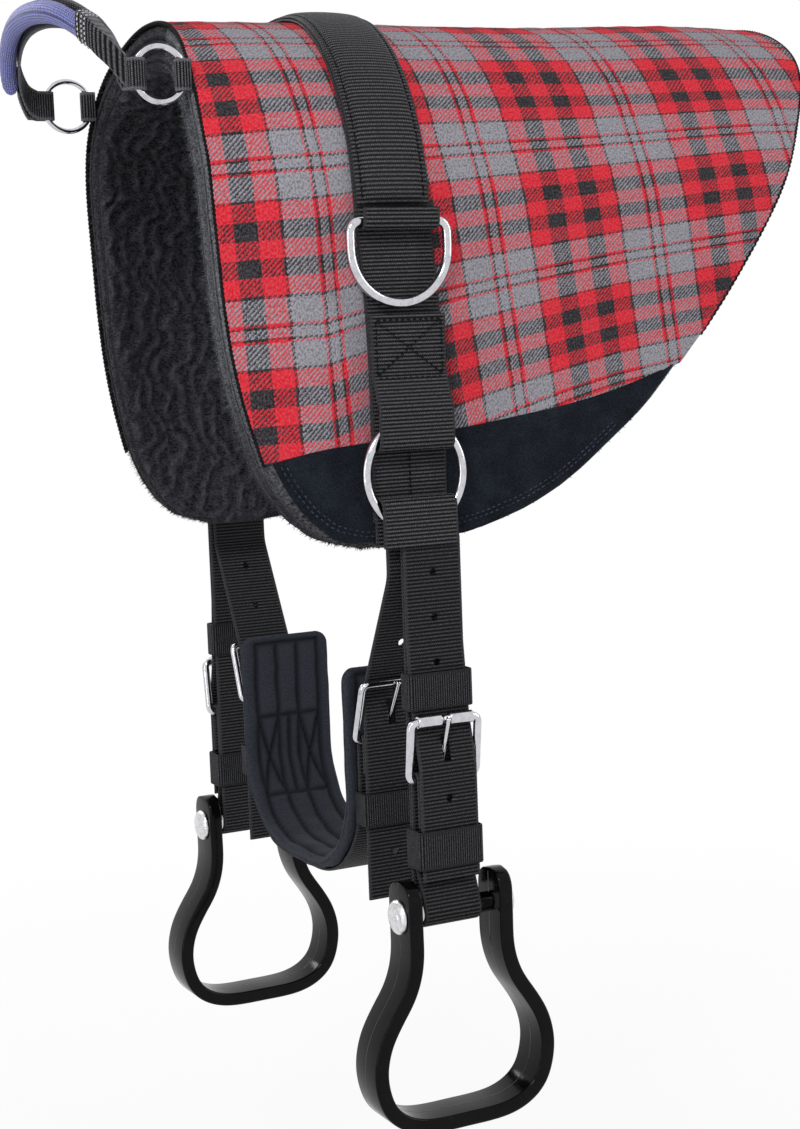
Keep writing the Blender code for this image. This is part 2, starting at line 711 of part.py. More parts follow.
def hanging_side(name, side, y, stirrup_y):
    stirrup_leather(name, side, y)
    heel = (HEEL_X, HEEL_Z)
    front = (FRONT_BAR_X, FRONT_BAR_Z)
    pivot = (side * HEEL_X, y, HEEL_Z)
    buckle_frame("leather_buckle_" + name, side, y, BUCKLE_HALF, BUCKLE_WIRE, heel, front, pivot)
    prong("leather_prong_" + name, side, y, PRONG, BUCKLE_WIRE, heel, front, pivot)
    low = LEATHER_IN - WEB / 2 - GAP
    keeper("upper_keeper_" + name, side, low, UPPER_KEEPER_X, y, UPPER_KEEPER_Z, UPPER_KEEPER_HEIGHT,
           (side * RING_X, y, UPPER_KEEPER_Z))
    keeper("lower_keeper_" + name, side, low, LEATHER_OUT + WEB / 2 + GAP, y, LOWER_KEEPER_Z,
           LOWER_KEEPER_HEIGHT, (side * RING_X, y, LOWER_KEEPER_Z))
    stirrup(name, side * BOLT_X, stirrup_y)


# Stirrups
def stirrup(name, x, y):
    centre = (x, y, BOLT_Z)
    neck = NECK_GAP / 2 + EAR / 2
    bow = [(neck, STIRRUP_DROP * share) for share in NECK_SHARES]
    bow += [(STIRRUP_HALF * out, STIRRUP_DROP * down) for out, down in BOW_SHARES]
    bow += [(TREAD_HALF, STIRRUP_DROP)]
    half = [(neck, -EAR_RISE)] + smooth(bow, 2)
    outline = half + [(-out, down) for out, down in reversed(half)]
    line = [(x - STIRRUP_DEPTH / 2, y + out, BOLT_Z - down) for out, down in outline]
    body = ribbon("stirrup_" + name, line, (STIRRUP_DEPTH, 0.0, 0.0), EAR, plastic, centre)
    for side in (-1, 1):
        ear = (x, y + side * neck, BOLT_Z + EAR_RISE)
        disc = rod_tool(body.name + "_ear", ear, STIRRUP_DEPTH / 2, EAR, (QUARTER, 0.0, 0.0), 32)
        carve(body, disc, "UNION")
    bore = rod_tool(body.name + "_bore", centre, ROLLER_BORE, 2 * NECK_GAP, (QUARTER, 0.0, 0.0), 24)
    carve(body, bore)
    edges = body.modifiers.new("edges", "BEVEL")
    edges.width = STIRRUP_EDGE
    edges.segments = 2
    edges.limit_method = "ANGLE"
    edges.angle_limit = math.radians(50)
    stirrup_hardware(name, centre)


def stirrup_hardware(name, centre):
    outer = NECK_GAP / 2 + EAR + GAP
    dome = [
        (HEAD_RADIUS * math.sin(math.radians(turn)), HEAD_HEIGHT * math.cos(math.radians(turn)))
        for turn in (20, 40, 60, 78, 90)
    ]
    head = [(radius, -outer - rise) for radius, rise in reversed(dome)] + [(0.0, -outer - HEAD_HEIGHT)]
    shank = [(0.0, outer), (SHANK_RADIUS, outer), (SHANK_RADIUS, -outer)]
    turned("stirrup_bolt_" + name, shank + head, centre, steel)
    cap = [(0.0, outer + GAP + HEAD_HEIGHT)] + [(radius, outer + GAP + rise) for radius, rise in dome]
    turned("stirrup_nut_" + name, cap + [(0.0, outer + GAP)], centre, steel)
    reach = NECK_GAP / 2 - GAP
    sleeve = [(ROLLER_RADIUS, reach), (ROLLER_RADIUS, -reach), (ROLLER_BORE, -reach), (ROLLER_BORE, reach)]
    turned("stirrup_roller_" + name, sleeve, centre, steel, ring=True)


# Billets and girth
def billet(name, side):
    tail_x = GIRTH_BILLET_X - BILLET_STEP
    corners = [
        (BILLET_X, LEATHER_TOP), (BILLET_X, BILLET_FALL_Z), (GIRTH_BILLET_X, BILLET_MEET_Z),
        (GIRTH_BILLET_X, BILLET_STEP_Z), (tail_x, BILLET_STEP_Z - BILLET_BEND), (tail_x, BILLET_TAIL),
    ]
    path = rounded(corners, BILLET_BEND)
    part = strap("billet_" + name, side, path, BILLET_Y, STRAP_WIDTH, webbing, CRADLE)
    slot(part, side, GIRTH_BILLET_X - WEB, GIRTH_BILLET_X + 2 * WEB, BILLET_Y,
         GIRTH_HEEL_Z + GIRTH_HOLE_LOW, GIRTH_HEEL_Z + GIRTH_HOLE_TOP)
    for share in BILLET_HOLE_SHARES:
        x = BILLET_X + (GIRTH_BILLET_X - BILLET_X) * share
        z = BILLET_FALL_Z + (BILLET_MEET_Z - BILLET_FALL_Z) * share
        eyelet(part, side, x, BILLET_Y, z, BILLET_HOLE_DEPTH)
    eyelet(part, side, tail_x, BILLET_Y, BILLET_TAIL + BILLET_TAIL_HOLE, BILLET_HOLE_DEPTH)


def girth_line():
    bowl = [(GIRTH_X * out, GIRTH_LOW + GIRTH_BOWL * up) for out, up in GIRTH_SHARES]
    bowl = smooth(both_halves(bowl), 2)
    right = [(GIRTH_X, GIRTH_TOP - GIRTH_HEM), (GIRTH_X, GIRTH_TOP)]
    return [(-a, b) for a, b in reversed(right)] + bowl + right


def girth():
    line = girth_line()
    grids = ([], [])
    surfaces = {}
    for share in sorted({share for _, share in QUILT_SHARES}):
        surfaces[share] = [beside(line, side * GIRTH_PAD / 2 * share) for side in (1, -1)]
    hem = [beside(line, side * GIRTH_PAD / 2 * GIRTH_HEM_SHARE) for side in (1, -1)]
    for i in range(len(line)):
        at_hem = i in (0, len(line) - 1)
        for side in (0, 1):
            row = []
            for across, share in QUILT_SHARES:
                x, z = hem[side][i] if at_hem else surfaces[share][side][i]
                row.append((x, GIRTH_Y + GIRTH_WIDTH * across, z))
            grids[side].append(row)
    loft("girth_pad", *grids, quilt, CRADLE)

    under = beside(line, GIRTH_X - GIRTH_WEB_X)[2:-2]
    fold = arc(GIRTH_HEEL_X, GIRTH_HEEL_Z, GIRTH_FOLD, 180, 0, 8)
    end = [(GIRTH_WEB_X, GIRTH_HEEL_Z - GIRTH_FOLD_LEAD)] + fold
    end += [(GIRTH_HEEL_X + GIRTH_FOLD, GIRTH_HEEL_Z - GIRTH_FOLD_TAIL)]
    path = [(-a, b) for a, b in reversed(end)] + under + end
    band = strap("girth_webbing", 1.0, path, BILLET_Y, STRAP_WIDTH, webbing, CRADLE)
    for side in (1, -1):
        slot(band, side, GIRTH_WEB_X - WEB, GIRTH_BILLET_X - WEB / 2 - GAP / 2, BILLET_Y,
             GIRTH_HEEL_Z - GIRTH_SLOT_HALF, GIRTH_HEEL_Z + GIRTH_SLOT_HALF)


def girth_side(name, side):
    heel = (GIRTH_HEEL_X, GIRTH_HEEL_Z)
    front = (GIRTH_FRONT_X, GIRTH_FRONT_Z)
    pivot = (side * GIRTH_HEEL_X, BILLET_Y, GIRTH_HEEL_Z)
    buckle_frame("girth_buckle_" + name, side, BILLET_Y, GIRTH_BUCKLE_HALF, GIRTH_WIRE, heel, front, pivot)
    prong("girth_prong_" + name, side, BILLET_Y, GIRTH_PRONG, GIRTH_WIRE, heel, front, pivot)
    near = GIRTH_X + GIRTH_PAD / 2 + GAP
    far = GIRTH_BILLET_X + WEB / 2 + GAP + THIN_WEB / 2
    edge = STRAP_WIDTH / 2 + 2 * GAP + THIN_WEB / 2
    path = [(near, -edge), (far, -edge), (far, edge), (near, edge)]
    low = GIRTH_KEEPER_Z - GIRTH_KEEPER_HEIGHT / 2
    line = [(side * a, BILLET_Y + b, low) for a, b in path]
    ribbon("girth_keeper_" + name, line, (0.0, 0.0, GIRTH_KEEPER_HEIGHT), THIN_WEB, webbing, CRADLE)


# Hand grip
def grip_rise(x):
    return GRIP_RING_Z + GRIP_RISE * between(GRIP_RISE_SHARES, abs(x) / (GRIP_RING_X - GRIP_FOLD))


def grip_ring(name, side):
    centre = (side * GRIP_RING_X, GRIP_RING_Y, GRIP_RING_Z)
    turn = arc(0.0, 0.0, GRIP_RING_RADIUS, 0, 345, 23)
    points = [(centre[0], GRIP_RING_Y + a, GRIP_RING_Z + b) for a, b in turn]
    wire("handle_ring_" + name, points, GRIP_RING_WIRE, steel, centre)
    # The tab is sewn to the pad's front edge, so it ends where its lower corner meets that edge
    low = GRIP_RING_Z - GRIP_WEB_WIDTH / 2
    level = (low + RIDGE_DIP - PAD_THICKNESS + FRONT_RADIUS) / FRONT_RADIUS
    seat = front_edge(FRONT_RADIUS * math.acos(level)) - GAP
    fold = arc(GRIP_RING_X, GRIP_RING_Y + GRIP_FOLD_OFFSET, GRIP_FOLD, 180, 360, 6)
    path = [(GRIP_RING_X - GRIP_FOLD, seat)] + fold + [(GRIP_RING_X + GRIP_FOLD, seat)]
    line = [(side * a, b, low) for a, b in path]
    ribbon("handle_tab_" + name, line, (0.0, 0.0, GRIP_WEB_WIDTH), GRIP_WEB, webbing)


def hand_grip():
    pivot = (0.0, GRIP_RING_Y, GRIP_RING_Z)
    half_width = GRIP_RING_X - GRIP_FOLD
    knots = [(half_width * out, GRIP_RING_Y - GRIP_REACH * away) for out, away in GRIP_SHARES]
    half = smooth(knots, 2)
    fold = arc(GRIP_RING_X, GRIP_RING_Y - GRIP_FOLD_OFFSET, GRIP_FOLD, 0, 180, 6)
    doubled = beside(half, GRIP_WEB + GAP)[1:4]
    side_line = list(reversed(doubled)) + [(GRIP_RING_X + GRIP_FOLD, half[0][1])] + fold + half
    path = side_line + [(-a, b) for a, b in reversed(side_line[:-1])]
    line = [(a, b, grip_rise(a) - GRIP_WEB_WIDTH / 2) for a, b in path]
    ribbon("handle_webbing", line, (0.0, 0.0, GRIP_WEB_WIDTH), GRIP_WEB, webbing, pivot)

    held = smooth(knots[2:], 3)
    held = held + [(-a, b) for a, b in reversed(held[:-1])]
    held = beside(held, GRIP_WEB / 2 + GAP + GRIP_HALF_THICK)
    section = bpy.data.curves.new("grip_section", "CURVE")
    section.dimensions = "2D"
    rim = section.splines.new("POLY")
    turns = [-2 * math.pi * k / 14 for k in range(14)]
    rim.points.add(len(turns) - 1)
    for knot, turn in zip(rim.points, turns):
        knot.co = (GRIP_HALF_THICK * math.cos(turn), GRIP_HALF_TALL * math.sin(turn), 0.0, 1.0)
    rim.use_cyclic_u = True
    guide = bpy.data.objects.new("grip_section", section)
    guide.display_type = "WIRE"
    guide.hide_render = True
    CUTTERS.objects.link(guide)
    held = [(a, b, grip_rise(a)) for a, b in held]
    grip = wire("handle_grip", held, GRIP_HALF_THICK, cord, pivot, closed=False)
    grip.data.bevel_mode = "OBJECT"
    grip.data.bevel_object = guide
    grip.data.twist_mode = "Z_UP"
    for end in (0, -1):
        grip.data.splines[0].points[end].radius = GRIP_END_SHARE


for old in list(bpy.data.objects):
    bpy.data.objects.remove(old)
PARTS = bpy.data.collections.new("bareback_pad")
CUTTERS = bpy.data.collections.new("cutters")
bpy.context.scene.collection.children.link(PARTS)
bpy.context.scene.collection.children.link(CUTTERS)
CRADLE = (0.0, RING_Y, RING_Z)

fleece = finish("fleece", (0.02, 0.02, 0.022), 0.95)
felt = finish("felt", (0.05, 0.052, 0.06), 0.95)
wool = finish("plaid wool", (0.45, 0.06, 0.07), 0.9)
suede = finish("suede", (0.008, 0.012, 0.022), 0.9)
webbing = finish("webbing", (0.018, 0.018, 0.02), 0.7)
steel = finish("bright steel", (0.75, 0.75, 0.76), 0.18, 1.0)
plastic = finish("gloss plastic", (0.012, 0.011, 0.012), 0.25)
quilt = finish("quilted cloth", (0.02, 0.028, 0.042), 0.9)
cord = finish("braided cord", (0.16, 0.18, 0.62), 0.7)

pad()
rigging_strap()
for sign, label in ((1.0, "left"), (-1.0, "right")):
    side_rigging(label, sign)
    billet(label, sign)
    girth_side(label, sign)
    grip_ring(label, sign)
hanging_side("left", 1.0, LEATHER_LEFT_Y, STIRRUP_LEFT_Y)
hanging_side("right", -1.0, LEATHER_RIGHT_Y, STIRRUP_RIGHT_Y)
girth()
hand_grip()
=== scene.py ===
# %% [markdown]
# # Dressing a bareback pad
# A bareback pad is a saddle without a tree: a fleece lining, a thick felt core and a plaid wool
# cover lie over the horse's back, and webbing, rings and buckles carry the girth and the stirrups.
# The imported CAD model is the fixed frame. Each piece made here takes its place from the same sizes,
# so that it moves with the solid that it stands for.

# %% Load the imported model
import json
import math

import bpy
import numpy as np
from mathutils import Matrix, Vector, kdtree

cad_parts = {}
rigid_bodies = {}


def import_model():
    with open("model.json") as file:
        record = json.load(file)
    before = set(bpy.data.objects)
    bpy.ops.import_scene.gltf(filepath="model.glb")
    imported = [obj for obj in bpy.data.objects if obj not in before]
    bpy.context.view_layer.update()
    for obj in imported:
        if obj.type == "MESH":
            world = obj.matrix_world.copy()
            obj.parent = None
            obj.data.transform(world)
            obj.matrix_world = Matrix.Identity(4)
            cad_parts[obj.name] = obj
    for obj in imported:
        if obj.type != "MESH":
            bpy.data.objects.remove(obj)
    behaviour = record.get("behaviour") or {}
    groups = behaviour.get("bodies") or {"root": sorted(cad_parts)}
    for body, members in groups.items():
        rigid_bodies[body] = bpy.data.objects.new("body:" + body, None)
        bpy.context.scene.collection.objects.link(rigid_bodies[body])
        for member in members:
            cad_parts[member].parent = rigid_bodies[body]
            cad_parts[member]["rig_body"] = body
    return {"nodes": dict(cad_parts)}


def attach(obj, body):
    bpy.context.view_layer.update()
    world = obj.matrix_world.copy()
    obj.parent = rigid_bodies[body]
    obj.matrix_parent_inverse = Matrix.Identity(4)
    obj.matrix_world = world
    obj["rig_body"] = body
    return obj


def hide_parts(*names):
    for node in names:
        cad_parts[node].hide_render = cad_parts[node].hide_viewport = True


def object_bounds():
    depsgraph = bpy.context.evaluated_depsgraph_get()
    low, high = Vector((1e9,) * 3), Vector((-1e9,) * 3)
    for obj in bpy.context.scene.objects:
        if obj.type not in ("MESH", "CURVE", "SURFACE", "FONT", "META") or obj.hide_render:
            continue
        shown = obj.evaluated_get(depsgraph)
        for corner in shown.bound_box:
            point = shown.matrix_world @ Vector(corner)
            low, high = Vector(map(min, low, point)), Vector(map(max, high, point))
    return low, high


TURN = 2 * math.pi
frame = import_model()
cad_low, cad_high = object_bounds()
nodes = frame["nodes"]

# %% [markdown]
# ## Camera
# The picture was taken from the left and a little above the stirrups, with the camera rolled by two
# degrees. A camera's matrix holds its right, up and back directions, so they are worked out from
# those three angles, and the lens comes from the focal length in pixels over the picture's height.

# %% The photograph's camera
PICTURE_HEIGHT, FOCAL_PIXELS = 1129, 2075.4
AZIMUTH, PITCH, ROLL = (math.radians(turn) for turn in (62.81, 6.57, -2.12))
CAMERA_PLACE = Vector((1.1982, -0.5447, -0.1594))


def link(name, data):
    made = bpy.data.objects.new(name, data)
    bpy.context.scene.collection.objects.link(made)
    return made


forward = Vector((
    -math.sin(AZIMUTH) * math.cos(PITCH), math.cos(AZIMUTH) * math.cos(PITCH), -math.sin(PITCH)))
level = Vector((math.cos(AZIMUTH), math.sin(AZIMUTH), 0.0))
upright = level.cross(forward)
right = level * math.cos(ROLL) + upright * math.sin(ROLL)
above = upright * math.cos(ROLL) - level * math.sin(ROLL)
camera = link("camera", bpy.data.cameras.new("camera"))
camera.data.sensor_width = 36.0
camera.data.sensor_fit = "AUTO"
camera.data.lens = FOCAL_PIXELS / PICTURE_HEIGHT * camera.data.sensor_width
camera.data.clip_start = 0.05
camera.matrix_world = Matrix((
    *((right[k], above[k], -forward[k], CAMERA_PLACE[k]) for k in range(3)),
    (0.0, 0.0, 0.0, 1.0),
))
bpy.context.scene.camera = camera
print("lens", round(camera.data.lens, 2), "mm")

# %% [markdown]
# ## Small tools for nodes
# A material is a tree of nodes. A Value stands for one output of a node and knows its tree, so that
# plain arithmetic in Python adds the Math nodes. The other helpers make one node each, and a node
# group has named sockets, so that an effect is built once and shared.

# %% Node helpers
def linear(red, green, blue):
    """A colour as the screen shows it, as the linear values that shaders take."""
    return tuple(
        ((c + 0.055) / 1.055) ** 2.4 if c > 0.04045 else c / 12.92 for c in (red, green, blue)) + (1.0,)


class Value:
    """An output socket in a node tree; + - * / with it add a Math node."""

    def __init__(self, tree, socket):
        self.tree, self.socket = tree, socket

    def __add__(self, other):
        return calc("ADD", self, other)

    def __sub__(self, other):
        return calc("SUBTRACT", self, other)

    def __mul__(self, other):
        return calc("MULTIPLY", self, other)

    def __truediv__(self, other):
        return calc("DIVIDE", self, other)

    def __rtruediv__(self, other):
        return calc("DIVIDE", other, self)


def feed(socket, value):
    if isinstance(value, Value):
        value.tree.links.new(value.socket, socket)
    else:
        socket.default_value = value


def node_of(kind, values, out=0, inputs=range(9), **options):
    """One node fed with values, some of which are Values; its output as a Value."""
    tree = next(value.tree for value in values if isinstance(value, Value))
    made = tree.nodes.new("ShaderNode" + kind)
    for label, option in options.items():
        setattr(made, label, option)
    for at, value in zip(inputs, values):
        feed(made.inputs[at], value)
    return Value(tree, made.outputs[out])


def calc(operation, *values, clamp=False):
    return node_of("Math", values, operation=operation, use_clamp=clamp)


def on_vector(operation, *values, out=0):
    return node_of("VectorMath", values, out, operation=operation)


def mixed(share, first, second):
    return node_of("Mix", (share, first, second), 2, (0, 6, 7), data_type="RGBA")


def spread(value, low, high, new_low=0.0, new_high=1.0):
    return node_of("MapRange", (value, low, high, new_low, new_high))


def noise(vector, scale, detail=2.0, rough=0.5):
    inputs = ("Vector", "Scale", "Detail", "Roughness")
    return node_of("TexNoise", (vector, scale, detail, rough), "Fac", inputs)


def joined(*values):
    return node_of("CombineXYZ", values)


def split(vector):
    made = vector.tree.nodes.new("ShaderNodeSeparateXYZ")
    feed(made.inputs[0], vector)
    return [Value(vector.tree, socket) for socket in made.outputs]


def wave(value, length=1.0):
    """Sine of a value, with one whole wave to a length."""
    return calc("SINE", value * (TURN / length))


def seen_rays(tree):
    """1 for rays from the camera and for those that a mirror or glass sends on, else 0."""
    rays = tree.nodes.new("ShaderNodeLightPath").outputs
    camera_ray, glossy, through_glass = (
        Value(tree, rays[label]) for label in ("Is Camera Ray", "Is Glossy Ray", "Is Transmission Ray"))
    return calc("MAXIMUM", calc("MAXIMUM", camera_ray, glossy), through_glass)


def open_group(name, inputs, outputs):
    """A node group with named sockets: (tree, what comes in, what goes out)."""
    group = bpy.data.node_groups.new(name, "ShaderNodeTree")
    for way, sockets in (("INPUT", inputs), ("OUTPUT", outputs)):
        for label, kind in sockets.items():
            group.interface.new_socket(label, in_out=way, socket_type="NodeSocket" + kind)
    coming = group.nodes.new("NodeGroupInput").outputs
    going = group.nodes.new("NodeGroupOutput").inputs
    return group, {label: Value(group, coming[label]) for label in inputs}, going


def use_group(tree, group, **values):
    made = tree.nodes.new("ShaderNodeGroup")
    made.node_tree = group
    for label, value in values.items():
        feed(made.inputs[label.replace("_", " ")], value)
    return {socket.name: Value(tree, socket) for socket in made.outputs}


# %% [markdown]
# ## Light
# A product picture has even, soft light. The world gives most of it, and one lamp from the
# camera's side gives the form. Narrow lamps at the side, behind and in front draw bright lines on
# metal and gloss plastic. The world is white to the eye and to reflections, and dimmer as light.

# %% Lamps and world
WHITE = (1.0, 1.0, 1.0, 1.0)
WORLD_LIGHT = 0.36
LAMPS = {  # place, aim, size in metres, watts
    "key_lamp": ((1.6, -1.5, 1.3), (0.0, 0.05, -0.25), (0.55, 0.55), 29),
    "side_lamp": ((1.2, 1.9, 0.5), (0.0, 0.05, -0.3), (0.28, 1.4), 11),
    "back_lamp": ((-1.8, -0.6, 0.9), (0.0, 0.05, -0.3), (0.32, 1.2), 10),
    "front_lamp": ((0.7, -2.3, -0.1), (0.0, 0.0, -0.4), (0.14, 1.6), 8),
}
for name, (stand, aim, size, watts) in LAMPS.items():
    lamp = bpy.data.lights.new(name, "AREA")
    lamp.shape = "RECTANGLE"
    lamp.size, lamp.size_y = size
    lamp.energy = watts
    made = link(name, lamp)
    made.location = stand
    made.rotation_euler = (Vector(aim) - Vector(stand)).to_track_quat("-Z", "Y").to_euler()

world = bpy.data.worlds.new("studio")
bpy.context.scene.world = world
world.use_nodes = True
tree = world.node_tree
tree.nodes.clear()
background = tree.nodes.new("ShaderNodeBackground")
feed(background.inputs["Color"], WHITE)
feed(background.inputs["Strength"], spread(seen_rays(tree), 0.0, 1.0, WORLD_LIGHT, 1.0))
tree.links.new(background.outputs[0], tree.nodes.new("ShaderNodeOutputWorld").inputs["Surface"])
bpy.context.scene.view_settings.view_transform = "Standard"

# %% [markdown]
# ## Shared effects
# Four effects come back in several finishes. Loose fibres make wool, felt, fleece and suede look
# soft. Ribs of webbing are really in the mesh; the group adds the yarns that cross them and paints
# shade into the grooves and highlights on the crests. The plaid is two rows of stripes, one for the
# yarns along the spine and one for those round the pad, and a diagonal twill that shows one or the
# other. Scuffs dull metal and plastic here and there.

# %% Fibres
CROSSING_SCALE, PATCH_SCALE = 0.55, 0.06

fibres, coming, going = open_group(
    "loose fibres", {"Place": "Vector", "Size": "Float", "Length": "Float"},
    {"Speckle": "Float", "Patches": "Float", "Height": "Float"})
scale = 1.0 / coming["Size"]
stretched = on_vector("MULTIPLY", coming["Place"], joined(1.0, 1.0 / coming["Length"], 1.0))
fine = noise(stretched, scale, 3.0, 0.65)
crossing = noise(coming["Place"], scale * CROSSING_SCALE, 2.0, 0.6)
broad = noise(coming["Place"], scale * PATCH_SCALE, 2.0, 0.5)
feed(going["Speckle"], spread(fine, 0.32, 0.68))
feed(going["Patches"], spread(broad, 0.35, 0.65))
feed(going["Height"], fine * 0.6 + crossing * 0.4)

# %% Yarns of ribbed webbing
YARN_LEAN, GRAIN_SIZE, SELVEDGE_IN, SELVEDGE_OUT, CREST_POWER = 2.2, 0.0009, 0.0012, 0.0022, 5.5

yarns, coming, going = open_group(
    "rib yarns",
    {"Across": "Float", "Along": "Float", "Crest": "Float", "Yarn": "Float", "Half Width": "Float"},
    {"Shade": "Float", "Edge": "Float", "Height": "Float"})
across, along = coming["Across"], coming["Along"]
bead = wave(across / coming["Yarn"] + along / (coming["Yarn"] * YARN_LEAN))
bead = spread(bead, -1.0, 1.0)
grain = noise(joined(across, along, 0.0), 1.0 / GRAIN_SIZE, 2.0, 0.6)
inset = coming["Half Width"] - calc("ABSOLUTE", across)
# Shade is painted light: the grooves stay dark as painted shade, and thin painted highlights lie on the
# crests and beads.
shade = calc("POWER", coming["Crest"], CREST_POWER) * spread(bead, 0.0, 1.0, 0.45, 1.0)
feed(going["Shade"], calc("MULTIPLY", shade, spread(grain, 0.32, 0.68, 0.35, 1.55), clamp=True))
# Edge marks the selvedge, where the webbing's finish paints highlights on the beads.
feed(going["Edge"], spread(inset, SELVEDGE_IN, SELVEDGE_OUT, 1.0, 0.0))
feed(going["Height"], bead * 0.6 + grain * 0.8)

# %% Plaid twill
RED_YARN, DARK_YARN, GREY_YARN = linear(0.91, 0.15, 0.215), linear(0.15, 0.15, 0.16), linear(0.60, 0.60, 0.63)
COLUMNS = (-0.0570, 0.1118, 0.0500)  # start, period and width of the grey block, in metres
ROWS = (0.0475, 0.0950, 0.0425)
DARK_EDGE, THIN_LINE, LINE_GAP = 0.0016, 0.0015, 0.0052
TWILL_PITCH, YARN_WANDER, TWILL_SOFTNESS = 0.0030, 0.0009, 0.35


def stripes(place, start, period, grey):
    """Yarn colour at a place: a grey block with two thin red lines, then red and dark by turns."""
    turn = calc("FRACT", (place - start) / period + 8.0)
    made = place.tree.nodes.new("ShaderNodeValToRGB")
    made.color_ramp.interpolation = "CONSTANT"
    feed(made.inputs[0], turn)
    flank = (grey - 2 * DARK_EDGE - 4 * THIN_LINE - LINE_GAP) / 2
    band = (period - grey) / 5
    half = [(DARK_EDGE, DARK_YARN), (flank, GREY_YARN), (THIN_LINE, RED_YARN), (THIN_LINE, DARK_YARN)]
    run = [*half, (LINE_GAP, GREY_YARN), *half[::-1]]
    run += [(band, RED_YARN), (band, DARK_YARN)] * 2 + [(band, RED_YARN)]
    stops = made.color_ramp.elements
    while len(stops) < len(run):
        stops.new(0.99)
    at = 0.0
    for i, (width, colour) in enumerate(run):
        stops[i].position = at / period
        stops[i].color = colour
        at += width
    return Value(place.tree, made.outputs[0])


plaid, coming, going = open_group(
    "plaid twill", {"Along Spine": "Float", "Round": "Float", "Fuzz": "Float"},
    {"Colour": "Color", "Height": "Float"})
wander = (coming["Fuzz"] - 0.5) * YARN_WANDER
columns_at = coming["Along Spine"] + wander
rows_at = coming["Round"] + wander
twill = wave((columns_at + rows_at) / TWILL_PITCH)
over = spread(twill, -TWILL_SOFTNESS, TWILL_SOFTNESS, 0.10, 0.90)
feed(going["Colour"], mixed(over, stripes(columns_at, *COLUMNS), stripes(rows_at, *ROWS)))
feed(going["Height"], spread(twill, -1.0, 1.0))

# %% Scuffs
STREAK_STRETCH, STREAK_SCALE = (0.18, 1.0, 1.0), 6.0

scuffs, coming, going = open_group(
    "scuffs", {"Place": "Vector", "Size": "Float", "Amount": "Float"}, {"Mask": "Float", "Height": "Float"})
scale = 1.0 / coming["Size"]
cloud = noise(coming["Place"], scale, 4.0, 0.6)
streak = noise(on_vector("MULTIPLY", coming["Place"], STREAK_STRETCH), scale * STREAK_SCALE, 3.0, 0.7)
mask = spread(cloud, 0.42, 0.72) * spread(streak, 0.5, 0.7, 0.2, 1.0)
feed(going["Mask"], calc("MULTIPLY", mask, coming["Amount"], clamp=True))
feed(going["Height"], streak)
print("groups:", ", ".join(group.name for group in (fibres, yarns, plaid, scuffs)))

# %% [markdown]
# ## Finishes
# Each material stands on a Principled shader. Fibres scatter light at grazing angles, which is what
# sheen is for; it is set on the shader itself. Weave patterns don't come from a UV map but from an
# attribute named cloth, which holds the distance across, the distance along and the height of the
# rib in metres, so the pattern keeps its real size on every piece. The third number also carries
# painted light: shade in grooves, valleys and seams, highlights on crests, and the lit rim of the felt.

# %% A plain start for a finish
def new_finish(name, roughness, metallic=0.0, sheen=0.0, sheen_rough=0.5, specular=0.5):
    """A material, its tree and the inputs of its shader."""
    material = bpy.data.materials.new(name)
    material.use_nodes = True
    inputs = material.node_tree.nodes["Principled BSDF"].inputs
    for label, number in (("Roughness", roughness), ("Metallic", metallic), ("Sheen Weight", sheen),
                          ("Sheen Roughness", sheen_rough), ("Specular IOR Level", specular)):
        inputs[label].default_value = number
    return material, material.node_tree, inputs


def cloth_place(tree):
    made = tree.nodes.new("ShaderNodeAttribute")
    made.attribute_name = "cloth"
    return Value(tree, made.outputs["Vector"])


def object_place(tree):
    return Value(tree, tree.nodes.new("ShaderNodeTexCoord").outputs["Object"])


def paint(inputs, colour, height, depth, strength):
    """Colour and bump of a shader; the depth of the bump is in metres."""
    bump = node_of("Bump", (strength, depth, height), "Normal", ("Strength", "Distance", "Height"))
    feed(inputs["Base Color"], colour)
    feed(inputs["Normal"], bump)


# %% Plaid wool: fuzz shows on the grey yarns, and the cloth's back is plain dark
wool, tree, inputs = new_finish("plaid wool", 0.95, sheen=0.03, specular=0.05)
place_on = cloth_place(tree)
nap = use_group(tree, fibres, Place=place_on, Size=0.0011, Length=1.6)
along_spine, around_pad, on_back = split(place_on)
sett = use_group(tree, plaid, Along_Spine=along_spine, Round=around_pad, Fuzz=nap["Speckle"])
green = node_of("SeparateColor", (sett["Colour"],), "Green")
grey_share = spread(green, 0.03, 0.30, 0.35, 1.0)
pale_share = spread(nap["Speckle"], 0.3, 1.0, 0.0, 0.26) * grey_share
dark_share = spread(nap["Speckle"], 0.0, 0.5, 0.55, 0.0) * grey_share
colour = mixed(pale_share, sett["Colour"], linear(0.95, 0.90, 0.95))
colour = mixed(dark_share, colour, linear(0.05, 0.045, 0.05))
colour = mixed(spread(nap["Patches"], 0.0, 1.0, 0.0, 0.05), colour, linear(0.50, 0.48, 0.50))
colour = mixed(on_back, colour, linear(0.03, 0.03, 0.035))
paint(inputs, colour, sett["Height"] * 0.45 + nap["Height"], 0.0006, 0.8)

# %% Suede and threads: (name, dark, light, fibre size, length, depth, roughness, sheen)
def fibre_finish(name, dark, light, size, length, depth, roughness, sheen):
    material, tree, inputs = new_finish(name, roughness, sheen=sheen, sheen_rough=0.4, specular=0.06)
    nap = use_group(tree, fibres, Place=object_place(tree), Size=size, Length=length)
    share = nap["Speckle"] * 0.7 + nap["Patches"] * 0.3
    paint(inputs, mixed(share, linear(*dark), linear(*light)), nap["Height"], depth, 0.9)
    return material


